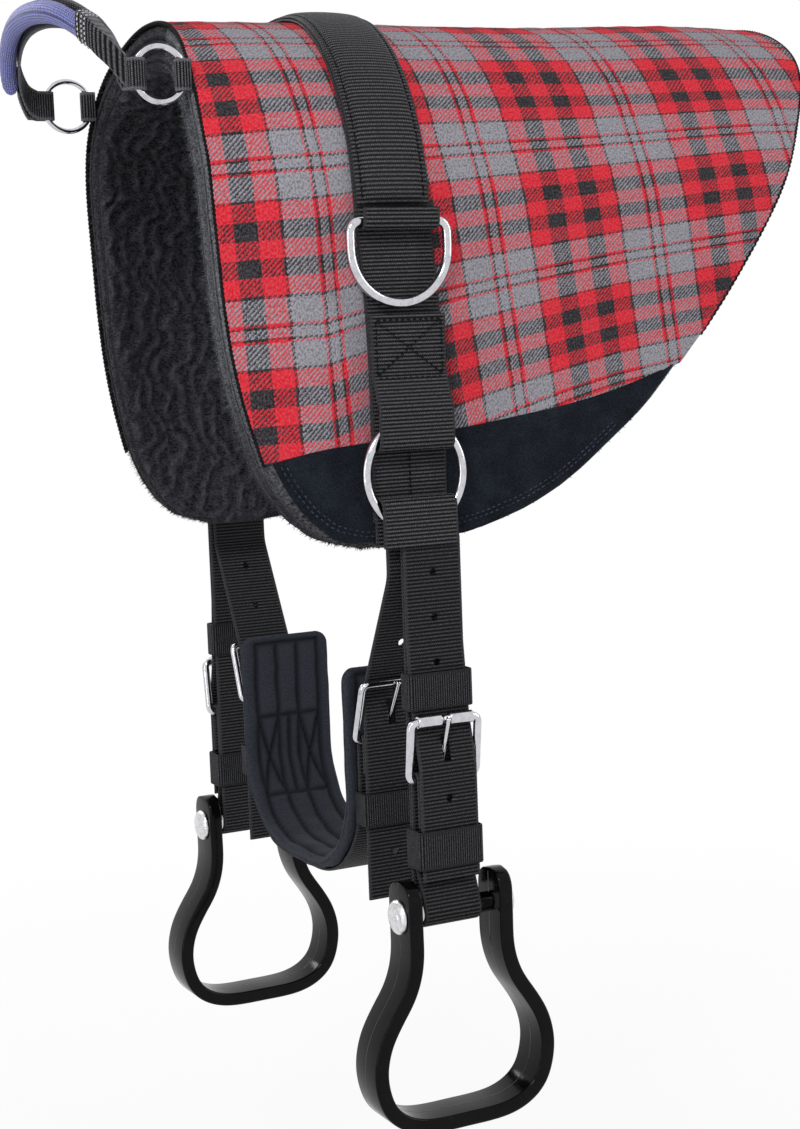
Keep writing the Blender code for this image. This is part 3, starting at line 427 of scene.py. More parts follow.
suede, thread, hem_thread, pale_thread = (fibre_finish(*finish) for finish in (
    ("suede", (0.045, 0.053, 0.068), (0.165, 0.19, 0.225), 0.0009, 1.4, 0.0006, 0.93, 0.02),
    ("thread", (0.015, 0.015, 0.018), (0.12, 0.12, 0.13), 0.0004, 3.0, 0.0002, 0.6, 0.02),
    ("hem thread", (0.05, 0.06, 0.08), (0.33, 0.36, 0.42), 0.0006, 3.0, 0.0002, 0.6, 0.02),
    ("pale thread", (0.72, 0.72, 0.74), (0.92, 0.92, 0.93), 0.0004, 3.0, 0.0002, 0.7, 0.1),
))

# %% Felt, heathered: a lit copy where the rim takes painted light, and a darker, shaded copy elsewhere
felt, tree, inputs = new_finish("felt", 0.95, sheen=0.02, sheen_rough=0.4, specular=0.06)
nap = use_group(tree, fibres, Place=object_place(tree), Size=0.0012, Length=3.0)
lit_felt = mixed(nap["Speckle"], linear(0.12, 0.12, 0.134), linear(0.60, 0.605, 0.63))
shaded_felt = mixed(nap["Speckle"], linear(0.05, 0.05, 0.056), linear(0.27, 0.27, 0.29))
paint(inputs, mixed(split(cloth_place(tree))[2], shaded_felt, lit_felt), nap["Height"], 0.0020, 1.0)

# %% Fleece: painted shade in its valleys and painted highlight on its crests, grey where it is cut at the rim
fleece, tree, inputs = new_finish("fleece", 0.97, sheen=0.04, sheen_rough=0.4, specular=0.05)
nap = use_group(tree, fibres, Place=object_place(tree), Size=0.0011, Length=2.2)
pile_shading = split(cloth_place(tree))[2]
# Painted shade and highlight: the colour darkens in the pile's valleys and lightens on its crests.
colour = mixed(spread(pile_shading, 0.15, 1.0), linear(0.070, 0.070, 0.080), linear(0.28, 0.28, 0.30))
colour = mixed(nap["Speckle"] * 0.5, colour, linear(0.36, 0.36, 0.39))
colour = mixed(spread(nap["Speckle"], 0.0, 0.5, 0.55, 0.0), colour, linear(0.02, 0.02, 0.026))
# The grey cut pile is partly the rim's own colour and partly painted light: it shows only on the near side,
# less towards the lower edge.
cut_pile = mixed(nap["Speckle"], linear(0.09, 0.09, 0.10), linear(0.52, 0.525, 0.55))
paint(inputs, mixed(spread(pile_shading, 1.05, 2.0), colour, cut_pile), nap["Height"], 0.0022, 0.9)

# %% Webbing: half width, and the colours of the painted highlights on the crests and at the selvedge
# The webbing's own black, which the grooves keep as painted shade.
DARK_INK = linear(0.010, 0.010, 0.014)
CROSS_YARN = 0.0012


def webbing_finish(name, half_width, light, edge):
    material, tree, inputs = new_finish(name, 0.45, sheen=0.01, sheen_rough=0.35, specular=0.09)
    across, along, crest = split(cloth_place(tree))
    weave = use_group(tree, yarns, Across=across, Along=along, Crest=crest, Yarn=CROSS_YARN,
                      Half_Width=half_width)
    # Between DARK_INK and light lie painted shade in the grooves and painted highlights on the crests.
    body = mixed(weave["Shade"], DARK_INK, linear(*light))
    # At the selvedge the edge colour is a painted highlight on the raised beads.
    paint(inputs, mixed(weave["Edge"] * weave["Height"], body, linear(*edge)), weave["Height"], 0.0005, 0.9)
    return material


# light is the colour of the painted highlights on the crests, edge that of the highlights on the selvedge.
wide_webbing = webbing_finish("wide webbing", 0.0245, (0.45, 0.45, 0.47), (0.22, 0.22, 0.23))
strap_webbing = webbing_finish("strap webbing", 0.0190, (0.35, 0.35, 0.37), (0.25, 0.25, 0.26))
keeper_webbing = webbing_finish("keeper webbing", 0.0110, (0.37, 0.37, 0.39), (0.16, 0.16, 0.17))
grip_webbing = webbing_finish("grip webbing", 0.0090, (0.50, 0.50, 0.52), (0.46, 0.46, 0.48))

# %% Bright steel, gloss plastic
def steel_finish(name, bright, dull, size, depth):
    material, tree, inputs = new_finish(name, 0.14, metallic=1.0)
    rub = use_group(tree, scuffs, Place=object_place(tree), Size=size, Amount=1.0)
    feed(inputs["Roughness"], spread(rub["Mask"], 0.0, 1.0, 0.06, 0.26))
    paint(inputs, mixed(rub["Mask"], linear(*bright), linear(*dull)), rub["Height"], depth, 0.5)
    return material


steel = steel_finish("bright steel", (0.80, 0.80, 0.82), (0.50, 0.50, 0.52), 0.004, 0.00006)
worn_steel = steel_finish("worn steel", (0.86, 0.86, 0.87), (0.22, 0.22, 0.23), 0.0032, 0.00030)

plastic, tree, inputs = new_finish("gloss plastic", 0.22, specular=0.10)
rub = use_group(tree, scuffs, Place=object_place(tree), Size=0.016, Amount=0.8)
seam = spread(calc("ABSOLUTE", split(cloth_place(tree))[0]), 0.0, 0.0005, 1.0, 0.0)
colour = mixed(rub["Mask"], linear(0.030, 0.027, 0.029), linear(0.11, 0.10, 0.102))
feed(inputs["Roughness"], spread(rub["Mask"], 0.0, 1.0, 0.13, 0.36))
paint(inputs, colour, rub["Height"] * 0.25 + seam * 0.8, 0.0003, 0.5)

# %% Quilted cloth and braided cord
QUILT_YARN, BRAID_PITCH = 0.0007, 0.0030

quilt, tree, inputs = new_finish("quilted cloth", 0.85, sheen=0.06, sheen_rough=0.4, specular=0.08)
place_on = cloth_place(tree)
nap = use_group(tree, fibres, Place=place_on, Size=0.0010, Length=1.2)
across, along, off_seam = split(place_on)
weave = wave(across, QUILT_YARN) * wave(along, QUILT_YARN)
share = calc("ADD", nap["Speckle"] * 0.5, spread(weave, -1.0, 1.0, 0.0, 0.35), clamp=True)
colour = mixed(share, linear(0.105, 0.112, 0.134), linear(0.30, 0.315, 0.36))
# Painted shade: the colour darkens towards the seams, where the cloth sinks into grooves.
paint(inputs, mixed(off_seam, linear(0.012, 0.014, 0.02), colour), weave + nap["Height"] * 2.0, 0.00018, 0.7)

braid, tree, inputs = new_finish("braided cord", 0.42, sheen=0.04, specular=0.45)
place_on = cloth_place(tree)
around_cord, along, _ = split(place_on)
crossed = wave(around_cord + along, BRAID_PITCH) * wave(around_cord - along, BRAID_PITCH)
bead = spread(crossed, -0.6, 0.8)
grain = noise(place_on, 1.0 / 0.0008, 2.0, 0.6)
colour = mixed(bead, linear(0.08, 0.09, 0.33), linear(0.60, 0.62, 0.97))
colour = mixed(spread(grain, 0.4, 0.7, 0.0, 0.45), colour, linear(0.74, 0.76, 0.96))
paint(inputs, colour, bead + grain * 0.5, 0.0008, 1.0)
print("finishes:", len(bpy.data.materials))

# %% [markdown]
# ## Making meshes
# Soft pieces are made as grids of points in numpy and turned into one closed mesh. The direction of
# the faces is settled by the sign of the enclosed volume. A band or bar is a ring of points swept
# along a line; webbing gets its cross ribs in the mesh itself, four rows to a rib, so that they
# catch the light and show at the silhouette.

# %% Mesh helpers
def xyz(*columns):
    """Points from columns of numbers, where each is an array or one number for all."""
    return np.stack(np.broadcast_arrays(*columns), -1)


def unit(vectors):
    return vectors / np.linalg.norm(vectors, axis=1)[:, None]


def circle(count):
    """Evenly spaced turns round a circle, in radians."""
    return np.linspace(0.0, TURN, count, endpoint=False)


def cubes_of(points, faces):
    """Six times the volume that the faces enclose."""
    a, b, c, d = (points[faces[:, k]] for k in range(4))
    return float((np.cross(a, b) * c).sum() + (np.cross(a, c) * d).sum())


def make(name, points, faces, material, cloth=None, caps=(), smooth=True):
    """Mesh object from points and four-sided faces, turned so that it faces outward."""
    points, faces = np.asarray(points, float), np.asarray(faces, int)
    turned = cubes_of(points, faces) < 0
    lists = faces[:, ::-1].tolist() if turned else faces.tolist()
    lists += [list(cap)[::-1] if turned else list(cap) for cap in caps]
    mesh = bpy.data.meshes.new(name)
    mesh.from_pydata(points.tolist(), [], lists)
    mesh.polygons.foreach_set("use_smooth", np.full(len(lists), smooth))
    if cloth is not None:
        layer = mesh.attributes.new("cloth", "FLOAT_VECTOR", "POINT")
        layer.data.foreach_set("vector", np.asarray(cloth, np.float32).ravel())
    mesh.update()
    mesh.materials.append(material)
    return link(name, mesh)


def goes_with(piece, node):
    """The piece rides on the body of a solid and takes its finish."""
    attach(piece, nodes[node]["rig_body"])
    return piece


def stands_for(piece, node):
    """The same, and the piece replaces the solid."""
    goes_with(piece, node)
    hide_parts(node)
    return piece


def grid_faces(rows, columns, start=0, around=False):
    index = np.arange(rows * columns).reshape(rows, columns) + start
    if around:
        index = np.concatenate([index, index[:, :1]], axis=1)
    return np.stack([index[:-1, :-1], index[:-1, 1:], index[1:, 1:], index[1:, :-1]], -1).reshape(-1, 4)


def slab(name, low, high, material, cloth_low, cloth_high):
    """Closed body between two grids of points."""
    rows, columns = low.shape[:2]
    count = rows * columns
    index = np.arange(count).reshape(rows, columns)
    rim = np.concatenate([index[:, 0], index[-1, 1:], index[-2::-1, -1], index[0, -2:0:-1]])
    rim = np.append(rim, rim[0])
    sides = np.stack([rim[:-1], rim[1:], rim[1:] + count, rim[:-1] + count], -1)
    faces = np.concatenate([grid_faces(rows, columns)[:, ::-1], grid_faces(rows, columns, count), sides])
    points, cloth = (np.concatenate([a.reshape(-1, 3), b.reshape(-1, 3)])
                     for a, b in ((low, high), (cloth_low, cloth_high)))
    return make(name, points, faces, material, cloth)


def sweep(name, rings, material, cloth=None, closed=False):
    """Closed body through rings of points: an array of rows, points round, and x, y, z."""
    rows, around = rings.shape[:2]
    faces = grid_faces(rows, around, around=True)
    caps = ()
    turn = np.arange(around)
    last = (rows - 1) * around
    if closed:
        after = np.roll(turn, -1)
        faces = np.concatenate([faces, np.stack([last + turn, last + after, after, turn], -1)])
    else:
        caps = (turn[::-1], turn + last)
    if cloth is not None:
        cloth = cloth.reshape(-1, 3)
    return make(name, rings.reshape(-1, 3), faces, material, cloth, caps)


def arc(x, z, radius, start, stop, count):
    turns = np.radians(np.linspace(start, stop, count + 1))
    return xyz(x + radius * np.cos(turns), z + radius * np.sin(turns))


def lengths_along(path):
    return np.append(0.0, np.cumsum(np.linalg.norm(np.diff(path, axis=0), axis=1)))


def spaced(path, step, closed=False):
    """Points at even steps along a line of points, and their distances along it."""
    path = np.asarray(path, float)
    if closed:
        path = np.concatenate([path, path[:1]])
    lengths = lengths_along(path)
    at = np.linspace(0.0, lengths[-1], max(3, round(lengths[-1] / step)) + 1)
    if closed:
        at = at[:-1]
    return xyz(*(np.interp(at, lengths, column) for column in path.T)), at


def eased(path, rounds, closed=False):
    """The same line with its corners worn down a little."""
    path = path.copy()
    for _ in range(rounds):
        if closed:
            path = (np.roll(path, 1, 0) + 2 * path + np.roll(path, -1, 0)) / 4
        else:
            path[1:-1] = (path[:-2] + 2 * path[1:-1] + path[2:]) / 4
    return path


def directions(path, closed=False):
    return unit(np.roll(path, -1, 0) - np.roll(path, 1, 0) if closed else np.gradient(path, axis=0))


def left_of(path, closed=False):
    """The way to the left all along a flat line."""
    ahead = directions(np.asarray(path, float), closed)
    return xyz(-ahead[:, 1], ahead[:, 0])


def tube(name, path, radius, material, closed=False, around=14, step=0.0012):
    """Round bar along a line. Its rings are carried along the line without twisting."""
    points = eased(spaced(path, step, closed)[0], 3, closed)
    ahead = directions(points, closed)
    sides = np.empty_like(points)
    start = np.cross(ahead[0], (0.31, 0.87, 0.38))
    sides[0] = start / np.linalg.norm(start)
    for i in range(1, len(points)):
        carried = sides[i - 1] - ahead[i] * (sides[i - 1] @ ahead[i])
        sides[i] = carried / np.linalg.norm(carried)
    turns = circle(around)[:, None]
    ring = np.cos(turns) * sides[:, None] + np.sin(turns) * np.cross(ahead, sides)[:, None]
    return sweep(name, points[:, None] + radius * ring, material, closed=closed)


def hoop(x, y, z, radius, count):
    """A circle of points that faces sideways."""
    return np.concatenate([np.full((count, 1), x), arc(y, z, radius, 0, 360, count)[:-1]], 1)


# %% Ribs of webbing
RIB = 0.0022
RIB_DEPTH = 0.30
BAND_SHARES = np.array([-0.5, -0.495, -0.475, -0.44, -0.3, -0.1, 0.1, 0.3, 0.44, 0.475, 0.495, 0.5])
BAND_HEIGHTS = np.array([0.0, 0.6, 0.95, 1.0, 1.0, 1.0, 1.0, 1.0, 1.0, 0.95, 0.6, 0.0])


def ribbed(along, rib=RIB):
    """Height of the ribs along a band, from 0 in a groove to 1 on a crest."""
    return np.abs(np.sin(np.pi * along / rib)) ** 0.6


def band(name, at, length, width, thickness, material, closed=False, rib=RIB):
    """Webbing: at(across, along, height) gives its points, arrays in metres."""
    ribs = max(2, round(length / rib))
    along = np.linspace(0.0, length, 4 * ribs + 1)[:-1 if closed else None, None]
    across = np.concatenate([BAND_SHARES, BAND_SHARES[-2:0:-1]]) * width
    height = np.concatenate([BAND_HEIGHTS, -BAND_HEIGHTS[-2:0:-1]]) * thickness / 2
    crest = ribbed(along, length / ribs)
    cloth = xyz(across, along, crest)
    height = height * (1.0 - RIB_DEPTH * (1.0 - crest))
    return sweep(name, at(cloth[..., 0], cloth[..., 1], height), material, cloth, closed)


def smooth_line(path, step, rounds, closed):
    """Distances along a flat line, and columns with its points and the way out of it."""
    points, along = spaced(path, step, closed)
    points = eased(points, rounds, closed)
    table = np.concatenate([points, left_of(points, closed)], 1)
    if closed:
        along = np.append(along, along[-1] + np.linalg.norm(points[0] - points[-1]))
        table = np.concatenate([table, table[:1]])
    return along, table.T


def upright_path(side, path, y, closed=False, rounds=6):
    """A line in the X-Z plane as a surface for a band: (at, length)."""
    along, table = smooth_line(path, 0.0004, rounds, closed)

    def at(across, t, height):
        x, z, out_x, out_z = (np.interp(t, along, column) for column in table)
        return xyz(side * (x + out_x * height), y + across, z + out_z * height)
    return at, along[-1]


def level_path(path, z_of, closed=False, rounds=4):
    """A line in the X-Y plane with its band standing upright, its middle height given by z_of."""
    along, table = smooth_line(path, 0.0003, rounds, closed)

    def at(across, t, height):
        x, y, out_x, out_y = (np.interp(t, along, column) for column in table)
        return xyz(x + out_x * height, y + out_y * height, z_of(x) + across)
    return at, along[-1]


# %% Stitches
STITCH_SECTIONS = ((-0.5, 0.35), (-0.36, 0.95), (0.36, 0.95), (0.5, 0.35))  # share of length, of radius
STITCH_AROUND = 6


def stitches(name, lines, material, length, gap, radius, lift):
    """Short rounded stitches along lines, each a pair of arrays: points, and the way out of the cloth."""
    points, faces, start = [], [], 0
    turns = circle(STITCH_AROUND)[:, None]
    sides = grid_faces(len(STITCH_SECTIONS), STITCH_AROUND, around=True)
    ends = np.array([[0, 1, 2, 3], [0, 3, 4, 5]])
    for path, outs in lines:
        path, outs = np.asarray(path, float), np.asarray(outs, float)
        reach = lengths_along(path)
        count = int(reach[-1] // (length + gap))
        for k in range(count):
            middle = (k + 0.5) * reach[-1] / count
            spots = (middle, path), (middle + length / 4, path), (middle, outs)
            here, there, out = (
                np.array([np.interp(at, reach, column) for column in table.T]) for at, table in spots)
            ahead = there - here
            ahead = ahead / max(np.linalg.norm(ahead), 1e-9)
            out = out - ahead * (out @ ahead)
            out = out / max(np.linalg.norm(out), 1e-9)
            ring = np.cos(turns) * np.cross(ahead, out) + np.sin(turns) * out
            for share, size in STITCH_SECTIONS:
                points.append(here + ahead * share * length + out * radius * lift + radius * size * ring)
            faces += [sides + start, ends[:, ::-1] + start, ends + start + 3 * STITCH_AROUND]
            start += 4 * STITCH_AROUND
    return make(name, np.concatenate(points), np.concatenate(faces), material)


# %% [markdown]
# ## The pad's shape
# Looked at from the side, the pad has two edges, and they are read from the same tables as the CAD
# outline, here through a smooth curve. From the front it is an arch with upright sides. One function
# turns a place along the spine, a distance round the outside and a height above the lining into a
# point, and every layer, strap and seam of the pad uses it.

# %% Outline and arch
PAD = 0.0280
FLEECE_HIGH, FELT_LOW, FELT_HIGH, WOOL_LOW = 0.0110, 0.0115, 0.0260, 0.0265
PAD_DROP, FRONT_REACH, REAR_REACH = 0.387, 0.094, 0.341
FRONT_RADIUS, SIDE_X, REAR_RADIUS, WAIST_FRONT, WAIST_REAR = 0.105, 0.125, 0.135, 0.032, 0.060
RIDGE_DIP, RIDGE_RISE = 0.002, 0.0065
RING_Y = 0.0140
SAMPLES_BETWEEN = 12


def through(table):
    """Dense samples of a smooth curve through rows of place and value."""
    places, values = np.array(table, float).T
    steps = np.diff(places)
    slopes = np.diff(values) / steps
    inner = (slopes[:-1] * steps[1:] + slopes[1:] * steps[:-1]) / (steps[:-1] + steps[1:])
    lean = np.concatenate([slopes[:1], inner, slopes[-1:]])
    t = np.linspace(0.0, 1.0, SAMPLES_BETWEEN, endpoint=False)
    xs, ys = [], []
    for i, step in enumerate(steps):
        xs.append(places[i] + step * t)
        ys.append((2 * t**3 - 3 * t**2 + 1) * values[i] + (t**3 - 2 * t**2 + t) * step * lean[i]
                  + (3 * t**2 - 2 * t**3) * values[i + 1] + (t**3 - t**2) * step * lean[i + 1])
    return np.append(np.concatenate(xs), places[-1]), np.append(np.concatenate(ys), values[-1])


FRONT_LINE = through((
    (0.0, 0.894), (0.103, 0.915), (0.207, 0.968), (0.310, 1.0), (0.413, 0.989), (0.517, 0.968),
    (0.607, 0.947), (0.685, 0.915), (0.749, 0.872), (0.806, 0.819), (0.868, 0.745), (0.920, 0.640),
    (0.963, 0.500), (0.989, 0.340), (1.0, 0.170),
))
REAR_LINE = through((
    (0.0, 0.990), (0.072, 0.992), (0.150, 0.990), (0.222, 0.979), (0.295, 0.950), (0.380, 0.900),
    (0.491, 0.837), (0.553, 0.793), (0.612, 0.744), (0.700, 0.662), (0.762, 0.595), (0.819, 0.530),
    (0.873, 0.449), (0.910, 0.390), (0.941, 0.328), (0.972, 0.235), (0.992, 0.130), (1.0, 0.050),
))
RIDGE_LINE = through(((0.0, 0.0), (0.44, 0.25), (0.88, 1.0), (1.0, 0.875)))
SUEDE_LINE = through((
    (-0.276, 0.855), (-0.044, 0.842), (0.240, 0.819), (0.428, 0.796), (0.589, 0.760), (0.880, 0.677),
))
STRAP_LINE = through((
    (0.0, 1.55), (0.06, 1.50), (0.19, 1.10), (0.36, 0.74), (0.516, 0.68), (0.620, 0.93), (1.0, 1.0),
))


def front_edge(reach):
    return -FRONT_REACH * np.interp(np.abs(reach) / PAD_DROP, *FRONT_LINE)


def rear_edge(reach):
    return REAR_REACH * np.interp(np.abs(reach) / PAD_DROP, *REAR_LINE)


def suede_edge(y):
    return PAD_DROP * np.interp(y / REAR_REACH, *SUEDE_LINE)


def strap_middle(reach):
    return RING_Y * np.interp(np.abs(reach) / PAD_DROP, *STRAP_LINE)


def arch_radius(y):
    ahead = np.clip((-WAIST_FRONT - y) / (FRONT_REACH - WAIST_FRONT), 0.0, 1.0) ** 1.6
    behind = np.clip((y - WAIST_REAR) / (REAR_REACH - WAIST_REAR), 0.0, 1.1)
    return SIDE_X + (FRONT_RADIUS - SIDE_X) * ahead + (REAR_RADIUS - SIDE_X) * behind


def place(y, reach, height):
    """Points at y along the spine, reach round the outside from the ridge, height above the lining."""
    y, reach, height = np.broadcast_arrays(y, reach, height)
    radius = arch_radius(y)
    dip = -RIDGE_DIP * np.clip(-y / FRONT_REACH, 0.0, 1.0)
    lift = np.where(y < 0, dip, RIDGE_RISE * np.interp(y / REAR_REACH, *RIDGE_LINE))
    quarter = radius * math.pi / 2
    far = np.abs(reach)
    out = radius - PAD + height
    angle = np.minimum(far, quarter) / radius
    below = np.maximum(far - quarter, 0.0)
    share = np.minimum(below / (PAD_DROP - quarter), 1.0)
    z = PAD - radius + out * np.cos(angle) - below + lift * (1.0 - share)
    return xyz(np.sign(reach) * out * np.sin(angle), y, z)


def outward(y, reach):
    return place(y, reach, PAD + 0.001) - place(y, reach, PAD)


def side_reach(z):
    return SIDE_X * math.pi / 2 + PAD - SIDE_X - z


RIPPLE_COUNT, RIPPLE_SHORT, RIPPLE_LONG = 28, 0.0035, 0.011
rng = np.random.default_rng(7)
RIPPLES = [(math.cos(turn) / size, math.sin(turn) / size, start) for turn, size, start in zip(
    rng.uniform(0, math.pi, RIPPLE_COUNT), rng.uniform(RIPPLE_SHORT, RIPPLE_LONG, RIPPLE_COUNT),
    rng.uniform(0, 6.28, RIPPLE_COUNT))]


def uneven(u, v, size=1.0):
    """Smooth unevenness from waves that run in all directions, about -1 to 1."""
    total = sum(np.sin(TURN * (u * a + v * b) / size + start) for a, b, start in RIPPLES)
    return total / math.sqrt(RIPPLE_COUNT) / 1.4


# %% Layers of the pad
LAYER_LENGTH = 0.42
ROW_LEVEL = 0.8 * (math.pi / 2 - 1.0)
SUEDE_INSET, SUEDE_LIFT = 0.0045, 0.0003
EDGE_ROUNDS = 30
SEWN_IN, SEWN_WIDE, SEWN_DEPTH = 0.0045, 0.0012, 0.0007
PILE_PITCH, PILE_HEIGHT, PILE_SINK, CLUMP_LENGTH = 0.0118, 0.0034, 0.0014, 0.047
CUT_EDGE = 0.0075
RIM_SHARES = (0.70, 0.92)


def spread_shares(count, length, round_off):
    """Shares of a length with extra rows close to both ends, where the edge is rounded."""
    ends = round_off * (1.0 - np.cos(np.linspace(0.0, math.pi / 2, 6))) / length
    middle = np.linspace(ends[-1], 1.0 - ends[-1], count)
    return np.concatenate([ends[:-1], middle, 1.0 - ends[-2::-1]])


def rounding(distance, radius):
    t = np.clip(distance / radius, 0.0, 1.0)
    return np.sqrt(1.0 - (1.0 - t) ** 2) * 0.93 + 0.07


def pad_grid(from_edge, to_edge, step, round_off, inset):
    """Places along the spine and distances round the pad for a layer, and how far each is from its rim.

    from_edge and to_edge give the reach where a column starts and ends, for its place on the spine."""
    columns = spread_shares(int(LAYER_LENGTH / step), LAYER_LENGTH, round_off)
    limits = []
    for edge, guess in ((from_edge, -PAD_DROP), (to_edge, PAD_DROP)):
        reach = np.full(len(columns), guess)
        for _ in range(EDGE_ROUNDS):
            y = front_edge(reach) + columns * (rear_edge(reach) - front_edge(reach))
            reach = 0.5 * reach + 0.5 * edge(y)
        limits.append(reach)
    start, stop = limits
    length = float(np.mean(np.abs(stop - start)))
    rows = spread_shares(int(length / step), length, round_off)[:, None]
    reach = start + rows * (stop - start)
    front, rear = front_edge(reach) + inset, rear_edge(reach) - inset
    y = front + columns * (rear - front)
    beside = np.minimum(columns * (rear - front), (1.0 - columns) * (rear - front))
    return y, reach, beside, np.minimum(reach - start, stop - reach)


def eased_weave(y, far):
    """Where the plaid's yarns lie: behind the strap the cloth was turned a little as it was laid on."""
    turned = np.interp(y, (-0.035, 0.060, 0.160, 0.340), (0.0, 0.025, 0.050, 0.080))
    lean = np.interp(y, (-0.035, 0.050), (0.05, 0.14))
    columns = y - lean * (np.clip(far, 0.150, 0.400) - 0.228)
    return columns, far + turned * np.clip((far - 0.120) / 0.155, 0.0, 1.2)


def no_relief(*_):
    return 0.0


def pad_layer(name, low, high, step, round_off, material, edges,
              relief_low=no_relief, relief_high=no_relief, painted_shading=no_relief, inset=0.0, back=0.0):
    """A layer of the pad: the reliefs and the painted shading take y, reach, and distances from the rims."""
    spots = pad_grid(*edges, step, round_off, inset)
    y, reach, beside, down = spots
    body = rounding(beside, round_off) * rounding(down, round_off)
    middle, half = (low + high) / 2, (high - low) / 2
    inner = middle - half * body - relief_low(*spots) * body
    outer = middle + half * body + relief_high(*spots) * body
    radius = arch_radius(y)
    level = (SIDE_X - radius) * ROW_LEVEL * np.clip(np.abs(reach) / (radius * math.pi / 2), 0.0, 1.0)
    columns, rows = eased_weave(y, np.abs(reach) + level)
    cloth = [xyz(columns, np.sign(reach) * rows, painted_shading(*spots) + mark) for mark in (back, 0.0)]
    return slab(name, place(y, reach, inner), place(y, reach, outer), material, *cloth)


def pile(y, reach):
    """Sculpted fleece, 0 to 1: narrow ridges that wander down the sides and break into clumps."""
    sway = 0.0062 * np.sin(TURN * reach / 0.083 + 38.0 * y) + 0.0027 * np.sin(TURN * reach / 0.031 + 95.0 * y)
    sway = sway + 0.0030 * uneven(y, reach, 4.0)
    ridge = 1.0 - np.abs(np.sin(math.pi * (y + sway) / PILE_PITCH)) ** 0.9
    drift = reach + 0.009 * np.sin(y / 0.013)
    clump = 0.5 + 0.5 * np.sin(TURN * drift / CLUMP_LENGTH + 5.0 * np.sin(y / 0.019))
    return np.clip(ridge * (0.5 + 0.5 * clump) + 0.30 * uneven(y, reach, 1.1) + 0.14, 0.0, 1.0)


def sculpted(y, reach, *_):
    return PILE_HEIGHT * pile(y, reach) - PILE_SINK


def fleece_shading_and_cut_edge(y, reach, beside, down):
    """Pile height for the colour, as painted shade in valleys and painted highlight on crests; past 1 it is
    the pale cut edge at the front, strongest on the near side as painted light.
    """
    ahead = np.clip(1.0 - beside / CUT_EDGE, 0.0, 1.0) * (y < 0.1)
    lower = np.clip(1.0 - down / CUT_EDGE, 0.0, 1.0)
    edge = np.maximum(ahead, lower)
    near = np.where(reach > 0.05, np.interp(reach / PAD_DROP, RIM_SHARES, (1.0, 0.35)), 0.25)
    return np.maximum(pile(y, reach), (1.0 + edge) * (edge > 0.02) * near)


def soft_face(y, reach, beside, down):
    """Slight waves, and a groove where the edge thread pulls the cloth down."""
    groove = SEWN_DEPTH * np.exp(-((beside - SEWN_IN) / SEWN_WIDE) ** 2) * (beside < 0.02)
    return 0.00035 * uneven(y, reach, 3.0) - groove


def felted(y, reach, *_):
    return 0.0003 * uneven(y, reach)


def rim_light_share(y, reach, *_):
    """Share of painted light on the felt's rim: pale on the near side, less towards the lower edge, and dim
    on the far side.
    """
    return np.where(reach > 0.03, np.interp(reach / PAD_DROP, RIM_SHARES, (1.0, 0.25)), 0.15)


def level_edge(reach):
    return lambda y: reach + 0 * y


def suede_right(y):
    return -suede_edge(y)


whole = (level_edge(-PAD_DROP), level_edge(PAD_DROP))
lining = pad_layer("fleece_pile", 0.0, FLEECE_HIGH, step=0.0020, round_off=0.0052, material=fleece,
                   edges=whole, relief_low=sculpted, painted_shading=fleece_shading_and_cut_edge)
stands_for(lining, "fleece_lining")
core = pad_layer("felt_body", FELT_LOW, FELT_HIGH, step=0.0040, round_off=0.0030, material=felt,
                 edges=whole, relief_low=felted, relief_high=felted, painted_shading=rim_light_share)
stands_for(core, "felt_core")
cover = pad_layer("plaid_cover", WOOL_LOW, PAD, step=0.0040, round_off=0.0012, material=wool,
                  edges=(suede_right, suede_edge), relief_high=soft_face, back=1.0)
stands_for(cover, "wool_cover")
for label, edges in (("left", (suede_edge, level_edge(PAD_DROP - SUEDE_INSET))),
                     ("right", (level_edge(SUEDE_INSET - PAD_DROP), suede_right))):
    patch = pad_layer("suede_patch_" + label, WOOL_LOW + SUEDE_LIFT, PAD + SUEDE_LIFT, step=0.0035,
                      round_off=0.0010, material=suede, edges=edges, relief_high=soft_face,
                      inset=SUEDE_INSET)
    stands_for(patch, "suede_" + label)

# %% Overlocked edge
OVERLOCK_STEP, OVERLOCK_PITCH, OVERLOCK_RADIUS, OVERLOCK_SWELL = 0.0007, 0.0028, 0.00115, 0.28
OVERLOCK_AROUND, OVERLOCK_SINK = 8, 0.0009


def overlock(name, edge, inset, share):
    """Edge thread: a thin roll with a bulge for each stitch, on the middle share of an edge."""
    stop = share * PAD_DROP
    reach = np.linspace(-stop, stop, round(2 * stop / OVERLOCK_STEP))
    y = edge(reach) + inset
    points, outs = place(y, reach, PAD - OVERLOCK_SINK), unit(outward(y, reach))
    turns = circle(OVERLOCK_AROUND)
    along = np.arange(len(points))[:, None] * OVERLOCK_STEP
    swell = 1.0 + OVERLOCK_SWELL * np.sin(TURN * along / OVERLOCK_PITCH + turns)
    beside = np.cross(directions(points), outs)
    ring = np.cos(turns)[:, None] * outs[:, None] + np.sin(turns)[:, None] * beside[:, None]
    rings = points[:, None] + OVERLOCK_RADIUS * swell[..., None] * ring
    return goes_with(sweep(name, rings, thread), "wool_cover")


overlock("front_overlock", front_edge, 0.0001, 0.853)
overlock("rear_overlock", rear_edge, -0.0001, 0.715)

# %% Hem stitches
HEM_SIZES = (0.0022, 0.0016, 0.00045, 0.5)  # length, gap, radius and lift of a stitch
HEM_INSETS, HEM_FROM, HEM_LIFT = (0.0072, 0.0098), 0.858, 0.0004


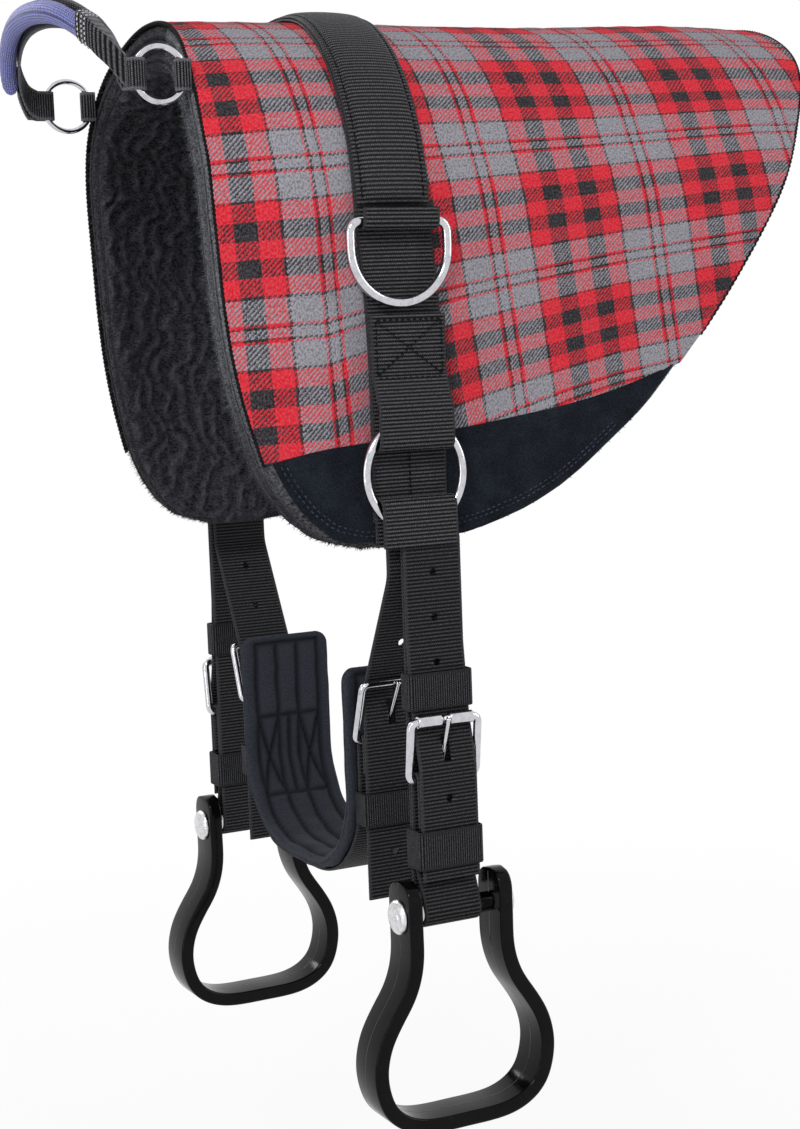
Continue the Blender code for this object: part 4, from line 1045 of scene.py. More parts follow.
def hem_line(side, inset):
    """A line on the suede that keeps its distance from the lower edge of the pad."""
    reach = np.linspace(HEM_FROM, 1.0, 260) * PAD_DROP
    ahead, behind = xyz(front_edge(reach), reach), xyz(rear_edge(reach), reach)
    flat = eased(spaced(np.concatenate([ahead, behind[::-1]]), 0.0020)[0], 4)
    flat = flat - inset * left_of(flat)
    flat = flat[(flat[:, 1] > suede_edge(flat[:, 0]) + 0.002) & (flat[:, 1] < PAD_DROP - 0.6 * inset)]
    y, reach = flat[:, 0], side * flat[:, 1]
    return place(y, reach, PAD + HEM_LIFT), outward(y, reach)


for label, side in (("left", 1.0), ("right", -1.0)):
    lines = [hem_line(side, inset) for inset in HEM_INSETS]
    goes_with(stitches("hem_stitches_" + label, lines, hem_thread, *HEM_SIZES), "suede_" + label)


# %% Loose fibre
FIBRE_WIDE, CURL_WIDE, FIBRE_SPREAD = 0.00028, 0.00035, 0.42
RIM_LOW, RIM_HIGH, RIM_INSET = 0.0015, 0.0255, 0.0012
HEM_COUNT, PILE_COUNT = 2600, 16000


def tufts(name, roots, ways, length, crest, material, node, wide=FIBRE_WIDE):
    """Loose fibre as thin spikes of three sides and a base, leaning at random round a direction."""
    ways = unit(unit(ways) + rng.normal(0.0, FIBRE_SPREAD, roots.shape))
    beside = unit(np.cross(ways, rng.normal(size=roots.shape)))
    other = np.cross(ways, beside)
    tips = roots + ways * (length * rng.uniform(0.45, 1.0, len(roots)))[:, None]
    base = [roots + wide * (math.cos(t) * beside + math.sin(t) * other) for t in (0.0, 2.094, 4.189)]
    points = np.stack([*base, tips], 1).reshape(-1, 3)
    caps = []
    for k in range(0, len(points), 4):
        caps += [(k, k + 1, k + 3), (k + 1, k + 2, k + 3), (k + 2, k, k + 3), (k + 2, k + 1, k)]
    cloth = xyz(points[:, 1], points[:, 2], np.repeat(np.broadcast_to(crest, len(roots)), 4))
    piece = make(name, points, np.zeros((0, 4), int), material, cloth, caps, smooth=False)
    return goes_with(piece, node)


# The rim's tufts take its painted light: pale on the near side, less towards the lower edge.
for name, count, edge, way, length in (("front_fibre", 7000, front_edge, -1.0, 0.0040),
                                       ("rear_fibre", 2500, rear_edge, 1.0, 0.0022)):
    reach = rng.uniform(-1.0, 1.0, count) * PAD_DROP
    height = rng.uniform(RIM_LOW, RIM_HIGH, count)
    roots = place(edge(reach) - way * RIM_INSET, reach, height)
    tufts(name, roots, xyz(0.0 * reach, way, -0.5), length, rim_light_share(0.0, reach), felt, "felt_core")

reach = PAD_DROP - rng.uniform(0.0, SUEDE_INSET, HEM_COUNT)
side = rng.choice((-1.0, 1.0), HEM_COUNT)
y = front_edge(reach) + rng.uniform(0.0, 1.0, HEM_COUNT) * (rear_edge(reach) - front_edge(reach))
roots = place(y, side * reach, rng.uniform(0.0, 0.0262, HEM_COUNT))
# On the near side the hem's tufts are a little lighter, as painted light.
tufts("hem_fibre", roots, xyz(0.2 * side, 0.0, -1.0), 0.0022, np.where(side > 0, 0.12, 0.05),
      felt, "felt_core")

y = rng.uniform(-0.085, 0.32, PILE_COUNT)
reach = rng.uniform(-1.0, 1.0, PILE_COUNT) * PAD_DROP
inside = (y > front_edge(reach) + 0.002) & (y < rear_edge(reach) - 0.002)
y, reach = y[inside], reach[inside]
crest = pile(y, reach)
roots = place(y, reach, 0.0016 - 0.0034 * crest)
ways = place(y, reach, 0.0) - place(y, reach, 0.001) - (0.0, 0.0, 0.0006)
# The tufts take the pile's painted shade and highlight: darker in the valleys, lighter on the crests.
tufts("pile_fibre", roots, ways, 0.0030, 0.35 + 0.65 * crest, fleece, "fleece_lining", CURL_WIDE)
print("rim and fibre made")

# %% [markdown]
# ## Rigging over the back
# One wide strap crosses the pad from side to side and carries the rings. A padded cover of the same
# ribbed webbing lies over its top. Both follow the arch, so their points come from the pad's own
# function with a height above the wool.

# %% Rigging strap and its cover
GAP, WEB, WEB_WIDTH, STRAP_WIDTH, THIN_WEB = 0.0003, 0.0022, 0.049, 0.038, 0.0015
STRAP_DROP, COVER_DROP, COVER_WIDTH, COVER_RIB = 0.372, 0.1905, 0.047, 0.0024
COVER_MARGIN, COVER_CROWN, COVER_GROOVE, COVER_TUCK = 0.0015, 0.0026, 0.0005, 0.007
COVER_STEP, COVER_SEAM, COVER_SEAM_END, COVER_SEAM_LIFT = 0.0006, 0.425, 0.004, 0.0013
COVER_SIZES = (0.0028, 0.0012, 0.00045, 0.35)  # length, gap, radius and lift of a stitch
strap_base, cover_base = PAD + GAP + WEB / 2, PAD + 2 * GAP + WEB


def over_back(across, along, height):
    reach = along - STRAP_DROP
    return place(strap_middle(reach) + across, reach, strap_base + height)


strap = band("rigging_webbing", over_back, 2 * STRAP_DROP, WEB_WIDTH, WEB, wide_webbing)
stands_for(strap, "rigging_strap")

along = np.linspace(-COVER_DROP, COVER_DROP, round(2 * COVER_DROP / COVER_STEP) + 1)[:, None]
shares = np.array([-0.5, -0.49, -0.46, -0.43, -0.405, -0.39, -0.36, -0.30, -0.2, -0.1, 0.0])
shares = np.concatenate([shares, -shares[-2::-1]])
margin = COVER_MARGIN * np.clip((0.5 - np.abs(shares)) / 0.03, 0.0, 1.0) ** 0.5
crown = margin + COVER_CROWN * np.clip(1.0 - (shares / 0.405) ** 2, 0.0, 1.0) ** 0.35
across = np.concatenate([shares, shares[-2:0:-1]]) * COVER_WIDTH
height = np.append(crown, np.zeros(len(shares) - 2))
cloth = xyz(across, along, ribbed(along, COVER_RIB))
tuck = 1.0 - 0.75 * np.clip((np.abs(along) - COVER_DROP + COVER_TUCK) / COVER_TUCK, 0.0, 1.0) ** 2
height = height * tuck - COVER_GROOVE * (1 - cloth[..., 2]) * (height > 0.001)
points = place(strap_middle(cloth[..., 1]) + cloth[..., 0], cloth[..., 1], cover_base + height)
padded_cover = stands_for(sweep("padded_cover", points, wide_webbing, cloth), "strap_cover")
lines = []
reach = np.linspace(COVER_SEAM_END - COVER_DROP, COVER_DROP - COVER_SEAM_END, 400)
for share in (-COVER_SEAM, COVER_SEAM):
    y = strap_middle(reach) + share * COVER_WIDTH
    lines.append((place(y, reach, cover_base + COVER_SEAM_LIFT), outward(y, reach)))
seam = stitches("cover_stitches", lines, thread, *COVER_SIZES)
goes_with(seam, "strap_cover")

# %% [markdown]
# ## Rings and the straps that hold them
# Rings are welded round wire, so they are tubes along a closed line. The loops fold round the wire
# with a small clearance; their lines are drawn from the side and then swept across the width.

# %% D rings, rigging rings, loops and bands
LAYER_IN = SIDE_X + 2 * GAP + 1.5 * WEB
DEE_Z, DEE_WIRE, DEE_RADIUS, DEE_LEG, DEE_CORNER = -0.1000, 0.0028, 0.0312, 0.0155, 0.0060
DEE_FOLD, DEE_RISE = 0.0045, 0.0075
RING_Z, RING_WIRE, RING_RADIUS, RING_FOLD, FOLD_OFFSET = -0.2450, 0.0026, 0.0315, 0.00515, 0.01905
RING_STRAP_TOP, BAND_BOTTOM, RING_STRAP_OPEN, RING_STRAP_SHUT = -0.1530, -0.2870, 0.0190, 0.0380
RING_X, DEE_X = LAYER_IN + RING_FOLD, LAYER_IN + DEE_FOLD
DEE_Y = float(strap_middle(side_reach(DEE_Z)))
SIDES = (("left", 1.0), ("right", -1.0))


def webbing(name, side, path, y, width, material, node, rounds=6):
    at, length = upright_path(side, path, y, rounds=rounds)
    return stands_for(band(name, at, length, width, WEB, material), node)


def wire(name, points, radius, node, **more):
    return stands_for(tube(name, points, radius, steel, **more), node)


rise = DEE_Z + DEE_RISE
dee_fold = [(LAYER_IN, rise), *arc(DEE_X, DEE_Z, DEE_FOLD, 180, 360, 10), (DEE_X + DEE_FOLD, rise)]
dee = np.concatenate([
    arc(DEE_RADIUS - DEE_CORNER, -DEE_CORNER, DEE_CORNER, 90, 0, 5),
    arc(0.0, -DEE_LEG, DEE_RADIUS, 0, -180, 40),
    arc(DEE_CORNER - DEE_RADIUS, -DEE_CORNER, DEE_CORNER, 180, 90, 5),
])
fold_z, close = RING_Z + FOLD_OFFSET, LAYER_IN + WEB + 1.5 * GAP
ring_fold = [
    (LAYER_IN, RING_STRAP_TOP), *arc(RING_X, fold_z, RING_FOLD, 180, 360, 10),
    (RING_X + RING_FOLD, fold_z + RING_STRAP_OPEN), (close, fold_z + RING_STRAP_SHUT),
    (close, RING_STRAP_TOP)]
band_fold = [
    (LAYER_IN, BAND_BOTTOM), *arc(RING_X, RING_Z - FOLD_OFFSET, RING_FOLD, 180, 0, 10),
    (RING_X + RING_FOLD, BAND_BOTTOM)]
for label, side in SIDES:
    webbing("dee_fold_" + label, side, dee_fold, DEE_Y, WEB_WIDTH, wide_webbing, "dee_loop_" + label)
    points = xyz(side * DEE_X, DEE_Y + dee[:, 0], DEE_Z + dee[:, 1])
    wire("dee_wire_" + label, points, DEE_WIRE, "dee_ring_" + label, closed=True, around=18)
    webbing("ring_fold_" + label, side, ring_fold, RING_Y, WEB_WIDTH, wide_webbing, "ring_strap_" + label, 14)
    points = hoop(side * RING_X, RING_Y, RING_Z, RING_RADIUS, 72)
    wire("ring_wire_" + label, points, RING_WIRE, "rigging_ring_" + label, closed=True, around=18)
    webbing("band_fold_" + label, side, band_fold, RING_Y, WEB_WIDTH, wide_webbing, "ring_band_" + label)

# %% Stitching on the ring straps
BOX_WIDE, BOX_TOP, BOX_LOW, BOX_SECOND = 0.0212, -0.1562, -0.1880, 0.0014
MIDDLE_TOP, MIDDLE_LOW = -0.2310, -0.2620
BOX_SIZES = (0.0026, 0.0010, 0.00052, 0.7)  # length, gap, radius and lift of a stitch


def on_strap(side, x, start, stop):
    """Stitch line on the outer face of an upright strap, between two places across and high."""
    flat = spaced([start, stop], 0.0010)[0]
    points = xyz(side * x, RING_Y + flat[:, 0], flat[:, 1])
    return points, np.broadcast_to((side, 0.0, 0.0), points.shape)


corners = [(-BOX_WIDE, BOX_TOP), (BOX_WIDE, BOX_TOP), (BOX_WIDE, BOX_LOW), (-BOX_WIDE, BOX_LOW)]
runs = [(corners[k], corners[(k + 1) % 4]) for k in range(4)]
runs += [(corners[0], corners[2]), (corners[1], corners[3])]
runs += [((-BOX_WIDE, BOX_LOW - BOX_SECOND), (BOX_WIDE, BOX_LOW - BOX_SECOND))]
for label, side in SIDES:
    lines = [on_strap(side, LAYER_IN + 1.5 * WEB + 1.5 * GAP - 0.0001, *run) for run in runs]
    box = stitches("box_stitches_" + label, lines, thread, *BOX_SIZES)
    goes_with(box, "ring_strap_" + label)
    lines = [on_strap(side, LAYER_IN - 0.5 * WEB - GAP, (0.0, MIDDLE_TOP), (0.0, MIDDLE_LOW))]
    seam = stitches("middle_stitches_" + label, lines, thread, *BOX_SIZES)
    goes_with(seam, "rigging_strap")

# %% [markdown]
# ## Stirrup leathers
# On this pad they are webbing too. Each strap starts at its tail, passes the buckle, goes up to the
# band, comes down behind and turns round the stirrup's roller, and ends folded round the buckle's
# heel bar. Holes are cut through the webbing with boolean tools, and the cut mesh is kept.

# %% Cutting holes
HOLE, SLOT_HALF = 0.0022, 0.0024


def cut(piece, tools):
    """Cuts tools out of a piece for good, and carries the cloth places over to the new mesh."""
    for cutter in tools:
        boolean = piece.modifiers.new("cut", "BOOLEAN")
        boolean.operation = "DIFFERENCE"
        boolean.solver = "EXACT"
        boolean.object = cutter
    bpy.context.view_layer.update()
    solved = bpy.data.meshes.new_from_object(piece.evaluated_get(bpy.context.evaluated_depsgraph_get()))
    piece.modifiers.clear()
    before = piece.data
    tree = kdtree.KDTree(len(before.vertices))
    for i, vertex in enumerate(before.vertices):
        tree.insert(vertex.co, i)
    tree.balance()
    kept = np.empty(3 * len(before.vertices), np.float32)
    before.attributes["cloth"].data.foreach_get("vector", kept)
    nearest = [tree.find(vertex.co)[1] for vertex in solved.vertices]
    layer = solved.attributes.get("cloth") or solved.attributes.new("cloth", "FLOAT_VECTOR", "POINT")
    layer.data.foreach_set("vector", kept.reshape(-1, 3)[nearest].ravel())
    piece.data = solved
    for cutter in tools:
        bpy.data.objects.remove(cutter)


def drill(x, y, z, depth):
    """A round tool along X."""
    turns = circle(14)
    rings = [xyz(x + end * depth / 2, y + HOLE * np.cos(turns), z + HOLE * np.sin(turns)) for end in (-1, 1)]
    return sweep("tool", np.stack(rings), thread)


def slot_tool(side, x_low, x_high, y, z_low, z_high):
    """A square tool between two distances from the middle of the pad."""
    b, c, e, f = y - SLOT_HALF, z_low, y + SLOT_HALF, z_high
    ends = sorted((side * x_low, side * x_high))
    return sweep("tool", np.array([[(x, b, c), (x, e, c), (x, e, f), (x, b, f)] for x in ends]), thread)


# %% Buckles, prongs and keepers
BUCKLE_CORNER, PRONG_WRAP, PRONG_PAST = 0.0035, 290, 1.2
ROLLER_END, ROLLER_EDGE, ROLLER_RIM, ROLLER_WAIST = 0.0026, 0.0035, 0.0037, 0.0027
KEEPER_TURN, KEEPER_RIB = 0.0022, 0.0015


def rounded(low, high, corner, first, count):
    """Closed outline of a rectangle from its low and high corners, with round corners."""
    (left, bottom), (right, top) = np.add(low, corner), np.subtract(high, corner)
    centres = (right, top), (left, top), (left, bottom), (right, bottom)
    return np.concatenate([
        arc(*centres[at // 90 % 4], corner, at, at + 90, count) for at in range(first, first + 360, 90)])


def buckle(name, side, y, half, bar, heel, front, node):
    """Bent wire frame: its sides are drawn flat and leaned from the heel bar to the front bar."""
    along = np.subtract(front, heel)
    reach = float(np.hypot(*along))
    along = along / reach
    flat = rounded((-half, 0.0), (half, reach), BUCKLE_CORNER, -90, 6)
    points = xyz(side * (heel[0] + along[0] * flat[:, 1]), y + flat[:, 0], heel[1] + along[1] * flat[:, 1])
    wire(name, points, bar, node, closed=True, around=16, step=0.0008)


def prong(name, side, y, radius, bar, heel, front, node):
    """A hook round the heel bar, then a straight tongue that rests on the front bar."""
    wrap = bar + GAP + radius
    along = np.array((0.0, 1.0))
    for _ in range(4):
        tip = np.array(front) + wrap * np.array((along[1], -along[0]))
        away = tip - np.array(heel)
        leave = math.degrees(math.atan2(away[1], away[0]) + math.acos(wrap / np.hypot(*away)))
        hook = arc(*heel, wrap, leave + PRONG_WRAP, leave, 24)
        along = (tip - hook[-1]) / np.linalg.norm(tip - hook[-1])
    line = np.concatenate([hook, [tip, tip + along * PRONG_PAST * bar]])
    wire(name, xyz(side * line[:, 0], y, line[:, 1]), radius, node, around=12, step=0.0007)


def turned(name, profile, centre, material, around, closed=False):
    """Body turned about Y from pairs of radius and place along Y."""
    radius, along = np.array(profile, float).T[..., None]
    turns = circle(around)
    rings = xyz(centre[0] + radius * np.cos(turns), centre[1] + along, centre[2] + radius * np.sin(turns))
    return sweep(name, rings, material, closed=closed)


def buckle_roller(name, side, y, half, front, node):
    """Sheet-metal sleeve round the front bar, in one piece with a low waist where the prong rests."""
    reach, waist = half - BUCKLE_CORNER - 0.0004, PRONG + 0.0012
    left = [
        (ROLLER_END, -reach), (ROLLER_EDGE, 0.0001 - reach), (ROLLER_RIM, 0.0004 - reach),
        (ROLLER_RIM, 0.0008 - reach), (ROLLER_RIM, -waist - 0.0010), (ROLLER_RIM, -waist - 0.0006),
        (ROLLER_EDGE, -waist - 0.0002), (ROLLER_WAIST, -waist)]
    profile = left + [(radius, -at) for radius, at in reversed(left)]
    goes_with(turned(name, profile, (side * front[0], y, front[1]), steel, 20), node)


def keeper(name, side, line, z, height, node, closed=True):
    """A band of thin webbing round the plies, standing on edge."""
    at, length = level_path(line * (side, 1.0), lambda x: z, closed)
    strip = band(name, at, length, height, THIN_WEB, keeper_webbing, closed, KEEPER_RIB)
    stands_for(strip, node)


# %% Leathers
HEEL, FRONT_BAR = (0.1410, -0.4240), (0.1457, -0.3890)
BUCKLE_WIRE, BUCKLE_HALF, PRONG = 0.0025, 0.0222, 0.0014
BILLET_X = LAYER_IN + WEB + GAP
LEATHER_IN = BILLET_X + WEB + GAP
LEATHER_NEXT = LEATHER_IN + WEB + GAP
LEATHER_TOP, LEATHER_FOLD, LEATHER_PART_Z, LEATHER_TAIL = -0.2830, 0.0014, -0.3450, -0.4840
HEEL_FOLD = BUCKLE_WIRE + GAP + WEB / 2
LEATHER_OUT = HEEL[0] + BUCKLE_WIRE + 2 * PRONG + 2 * GAP + WEB / 2
BOLT_Z, ROLLER = -0.5035, 0.0060
BOLT_X = LEATHER_IN + WEB / 2 + GAP + ROLLER
LEATHER_Y = {"left": 0.0215, "right": 0.0115}
STIRRUP_Y = {"left": 0.0240, "right": 0.0150}
HOLE_STEP, HOLE_START, HOLE_DEPTH = 0.0265, 0.0150, 0.0080
HEEL_SLOT, PRONG_SLOT = (-0.0100, 0.0120), (0.0105, 0.0265)
KEEPER_HALF = STRAP_WIDTH / 2 + 0.0009 + THIN_WEB / 2
KEEPER_IN = LEATHER_IN - WEB / 2 - GAP
KEEPERS = {  # how far out it reaches, middle height, height
    "upper": (0.1424, -0.3720, 0.0220),
    "lower": (LEATHER_OUT + WEB / 2 + GAP, -0.4650, 0.0230),
}
fold_x = LEATHER_IN + LEATHER_FOLD
behind_bar = FRONT_BAR[0] - BUCKLE_WIRE - 3 * GAP - WEB / 2
LEATHER_LINE = np.array([
    (LEATHER_OUT, LEATHER_TAIL), (LEATHER_OUT, HEEL[1] + 0.0070), (behind_bar, FRONT_BAR[1]),
    (fold_x + LEATHER_FOLD, LEATHER_PART_Z), *arc(fold_x, LEATHER_TOP, LEATHER_FOLD, 0, 180, 8),
    *arc(BOLT_X, BOLT_Z, ROLLER + GAP + WEB / 2, 180, 384, 20),
    (LEATHER_NEXT, -0.4700), (LEATHER_NEXT, -0.4400),
    *arc(*HEEL, HEEL_FOLD, 180, 0, 10), (HEEL[0] + HEEL_FOLD, HEEL[1] - 0.0280),
])

inside, outside = LEATHER_IN + WEB / 2 + GAP / 2, LEATHER_OUT - WEB / 2 - GAP / 2
upper = LEATHER_IN + 2 * LEATHER_FOLD - WEB / 2 - GAP / 2 + HOLE_DEPTH / 2
hole_z = HEEL[1] + HOLE_START
for label, side in SIDES:
    y = LEATHER_Y[label]
    strap = webbing("leather_webbing_" + label, side, LEATHER_LINE, y, STRAP_WIDTH, strap_webbing,
                    "stirrup_leather_" + label)
    tools = [drill(side * upper, y, hole_z + HOLE_STEP * k, HOLE_DEPTH) for k in (2, 3, 4)]
    tools.append(drill(side * (outside + HOLE_DEPTH / 2), y, hole_z - HOLE_STEP, HOLE_DEPTH))
    for x_high, (low, high) in ((outside, HEEL_SLOT), (LEATHER_OUT + WEB, PRONG_SLOT)):
        tools.append(slot_tool(side, inside, x_high, y, HEEL[1] + low, HEEL[1] + high))
    cut(strap, tools)
    bars = (BUCKLE_WIRE, HEEL, FRONT_BAR)
    buckle("leather_frame_" + label, side, y, BUCKLE_HALF, *bars, "leather_buckle_" + label)
    prong("leather_tongue_" + label, side, y, PRONG, *bars, "leather_prong_" + label)
    buckle_roller("leather_buckle_roller_" + label, side, y, BUCKLE_HALF, FRONT_BAR,
                  "leather_buckle_" + label)
    for which, (out, z, height) in KEEPERS.items():
        line = rounded((KEEPER_IN - THIN_WEB / 2, y - KEEPER_HALF), (out + THIN_WEB / 2, y + KEEPER_HALF),
                       KEEPER_TURN, 0, 4)
        keeper(which + "_loop_" + label, side, line, z, height, which + "_keeper_" + label)
print("leathers and buckles made")

# %% [markdown]
# ## Stirrups
# Moulded plastic: one bent bar with a nearly rectangular section whose corners are rounded. The
# section is carried along the bow, keeps its width up to the ears, and there closes in a half
# circle round the bolt. The bolt's dome, the nut and the roller are turned like lathe work.

# %% Stirrups, bolts and rollers
NECK_GAP, EAR, EAR_RISE, STIRRUP_DEPTH, EAR_CORNER = 0.0515, 0.0090, 0.0065, 0.0280, 0.0017
STIRRUP_HALF, STIRRUP_DROP, TREAD_HALF, BOW_STEP = 0.0562, 0.1258, 0.0160, 0.0014
BOW = (  # shares of the half width and of the drop
    (0.573, 0.270), (0.658, 0.366), (0.801, 0.461), (0.934, 0.564), (1.0, 0.676), (0.989, 0.779),
    (0.905, 0.886), (0.735, 0.955), (0.520, 0.990),
)
BOLT, BORE, BORE_EDGE, CHAMFER = 0.0030, 0.0033, 0.0037, 0.0004
DOME_RADIUS, DOME_HEIGHT, DOME_RIM, GROOVE_AT, GROOVE_DEPTH = 0.0105, 0.0048, 0.0006, 0.62, 0.0005
ON_AXIS = 0.0002


def catmull(points, steps):
    """A smooth line through points."""
    points = np.asarray(points, float)
    hull = np.concatenate([points[:1], points, points[-1:]])
    out = []
    for a, b, c, d in zip(hull, hull[1:], hull[2:], hull[3:]):
        second, third = 2 * a - 5 * b + 4 * c - d, 3 * b - a - 3 * c + d
        out += [b + ((c - a) * t + second * t * t + third * t**3) / 2 for t in np.arange(steps) / steps]
    return np.array(out + [points[-1]])


def soft_square(half_wide, half_high, corner):
    """Rings of a rectangle with rounded corners, one for each number in half_wide."""
    half_wide = half_wide[:, None]
    corner = np.minimum(corner, half_wide * 0.98)
    rings = []
    for quarter, (sx, sy) in enumerate(((1, 1), (-1, 1), (-1, -1), (1, -1))):
        turn = np.radians(np.linspace(90 * quarter, 90 * quarter + 90, 6))
        rings.append(xyz(sx * (half_wide - corner) + corner * np.cos(turn),
                         sy * (half_high - corner) + corner * np.sin(turn)))
    return np.concatenate(rings, axis=1)


def stirrup(label, x, y):
    neck, half_depth = NECK_GAP / 2 + EAR / 2, STIRRUP_DEPTH / 2
    bow = [(neck, STIRRUP_DROP * share) for share in (0.079, 0.175)]
    bow += [(STIRRUP_HALF * out, STIRRUP_DROP * down) for out, down in BOW]
    half = catmull(bow + [(TREAD_HALF, STIRRUP_DROP), (0.0, STIRRUP_DROP)], 8)
    ear_top = EAR_RISE + half_depth
    line = np.concatenate([[(neck, -ear_top)], half, half[-2::-1] * (-1, 1), [(-neck, -ear_top)]])
    points = eased(spaced(line, BOW_STEP)[0], 16)
    rise = np.clip((-points[:, 1] - EAR_RISE) / half_depth, 0.0, 0.998)
    ring = soft_square(half_depth * (1.0 - rise ** 2.6) ** (1 / 2.6), EAR / 2, EAR_CORNER)
    across, deep = ring[..., 0], ring[..., 1]
    spot = points[:, None] + left_of(points)[:, None] * deep[..., None]
    rings = xyz(x + across, y + spot[..., 0], BOLT_Z - spot[..., 1])
    cloth = xyz(across, np.arange(len(points))[:, None] * BOW_STEP, np.sign(deep))
    stands_for(sweep("stirrup_bow_" + label, rings, plastic, cloth), "stirrup_" + label)


def lathe(name, profile, centre, material, node):
    """Turned steel that starts and ends on the axis, or closes to a ring."""
    made = turned(name, profile, centre, material, 40, closed=profile[0][0] > 0.001)
    stands_for(made, node)


def dome():
    """Radius and rise of a domed head with a turned groove, from its middle to its rim."""
    rows = []
    for turn in np.radians(np.linspace(4, 84, 26)):
        groove = GROOVE_DEPTH * math.exp(-((math.sin(turn) - GROOVE_AT) / 0.07) ** 2)
        rise = DOME_RIM + (DOME_HEIGHT - DOME_RIM) * math.cos(turn) - groove
        rows.append((DOME_RADIUS * math.sin(turn), rise))
    return rows + [(DOME_RADIUS, DOME_RIM * 0.6), (DOME_RADIUS, 0.0)]


outer, reach = NECK_GAP / 2 + EAR + GAP, NECK_GAP / 2 - GAP
head = [(radius, -outer - rise) for radius, rise in reversed(dome())]
bolt = [(ON_AXIS, outer), (BOLT - 0.0002, outer), (BOLT, outer - 0.0003), (BOLT, -outer)]
bolt += head + [(ON_AXIS, -outer - DOME_HEIGHT)]
nut = [(ON_AXIS, outer + GAP + DOME_HEIGHT)] + [(radius, outer + GAP + rise) for radius, rise in dome()]
nut += [(ON_AXIS, outer + GAP)]
sleeve = [
    (ROLLER, reach - CHAMFER), (ROLLER, 0.0), (ROLLER, CHAMFER - reach), (ROLLER - CHAMFER, -reach),
    (BORE_EDGE, -reach), (BORE, CHAMFER - reach), (BORE, reach - CHAMFER), (BORE_EDGE, reach),
    (ROLLER - CHAMFER, reach)]
for label, side in SIDES:
    centre = (side * BOLT_X, STIRRUP_Y[label], BOLT_Z)
    stirrup(label, centre[0], centre[1])
    lathe("bolt_dome_" + label, bolt, centre, worn_steel, "stirrup_bolt_" + label)
    lathe("nut_dome_" + label, nut, centre, worn_steel, "stirrup_nut_" + label)
    lathe("roller_sleeve_" + label, sleeve, centre, steel, "stirrup_roller_" + label)
print("stirrups made")

# %% [markdown]
# ## Billets and girth
# A billet hangs from each band and is buckled to the girth. The girth is a quilted cloth pad on a
# webbing band. Its seams are drawn as lines on the flat cloth, and every point of the pad sinks by
# its distance to the nearest seam, which gives the soft cushions between them.

# %% Billets and the girth's webbing
BILLET_Y, BILLET_FALL_Z, BILLET_MEET_Z, BILLET_STEP_Z, BILLET_STEP, BILLET_TAIL = (
    0.0135, -0.3050, -0.3770, -0.4375, 0.0016, -0.5060)
BILLET_HOLES, BILLET_HOLE_DEPTH, TAIL_HOLE = (0.22, 0.58), 0.0140, 0.0280
GIRTH_Y, GIRTH_WIDTH, GIRTH_PAD, GIRTH_X, GIRTH_TOP, GIRTH_LOW, GIRTH_BOWL = (
    0.0200, 0.0630, 0.0070, 0.0775, -0.3645, -0.4965, 0.0480)
GIRTH_SHARES = ((0.0, 0.0), (0.284, 0.0), (0.529, 0.094), (0.748, 0.3125), (0.910, 0.625), (1.0, 1.0))
GIRTH_WEB_X = GIRTH_X + GIRTH_PAD / 2 + GAP + WEB / 2
GIRTH_WIRE, GIRTH_PRONG, GIRTH_BUCKLE_HALF = 0.0022, 0.0012, 0.0218
GIRTH_HEEL, GIRTH_FRONT = (0.0866, -0.4080), (0.0996, -0.3720)
GIRTH_FOLD = GIRTH_WIRE + GAP + WEB / 2
GIRTH_BILLET_X = GIRTH_HEEL[0] + GIRTH_WIRE + 2 * GIRTH_PRONG + 2 * GAP + WEB / 2
GIRTH_KEEPER_Z, GIRTH_KEEPER_HEIGHT = -0.4500, 0.0200


def leftward(path, distance):
    return path + distance * left_of(path)


bowl = catmull([(GIRTH_X * out, GIRTH_LOW + GIRTH_BOWL * up) for out, up in GIRTH_SHARES], 6)
half_line = np.concatenate([bowl, [(GIRTH_X, GIRTH_TOP)]])
girth_points, girth_along = spaced(np.concatenate([half_line[:0:-1] * (-1, 1), half_line]), 0.0008)
girth_points = eased(girth_points, 10)

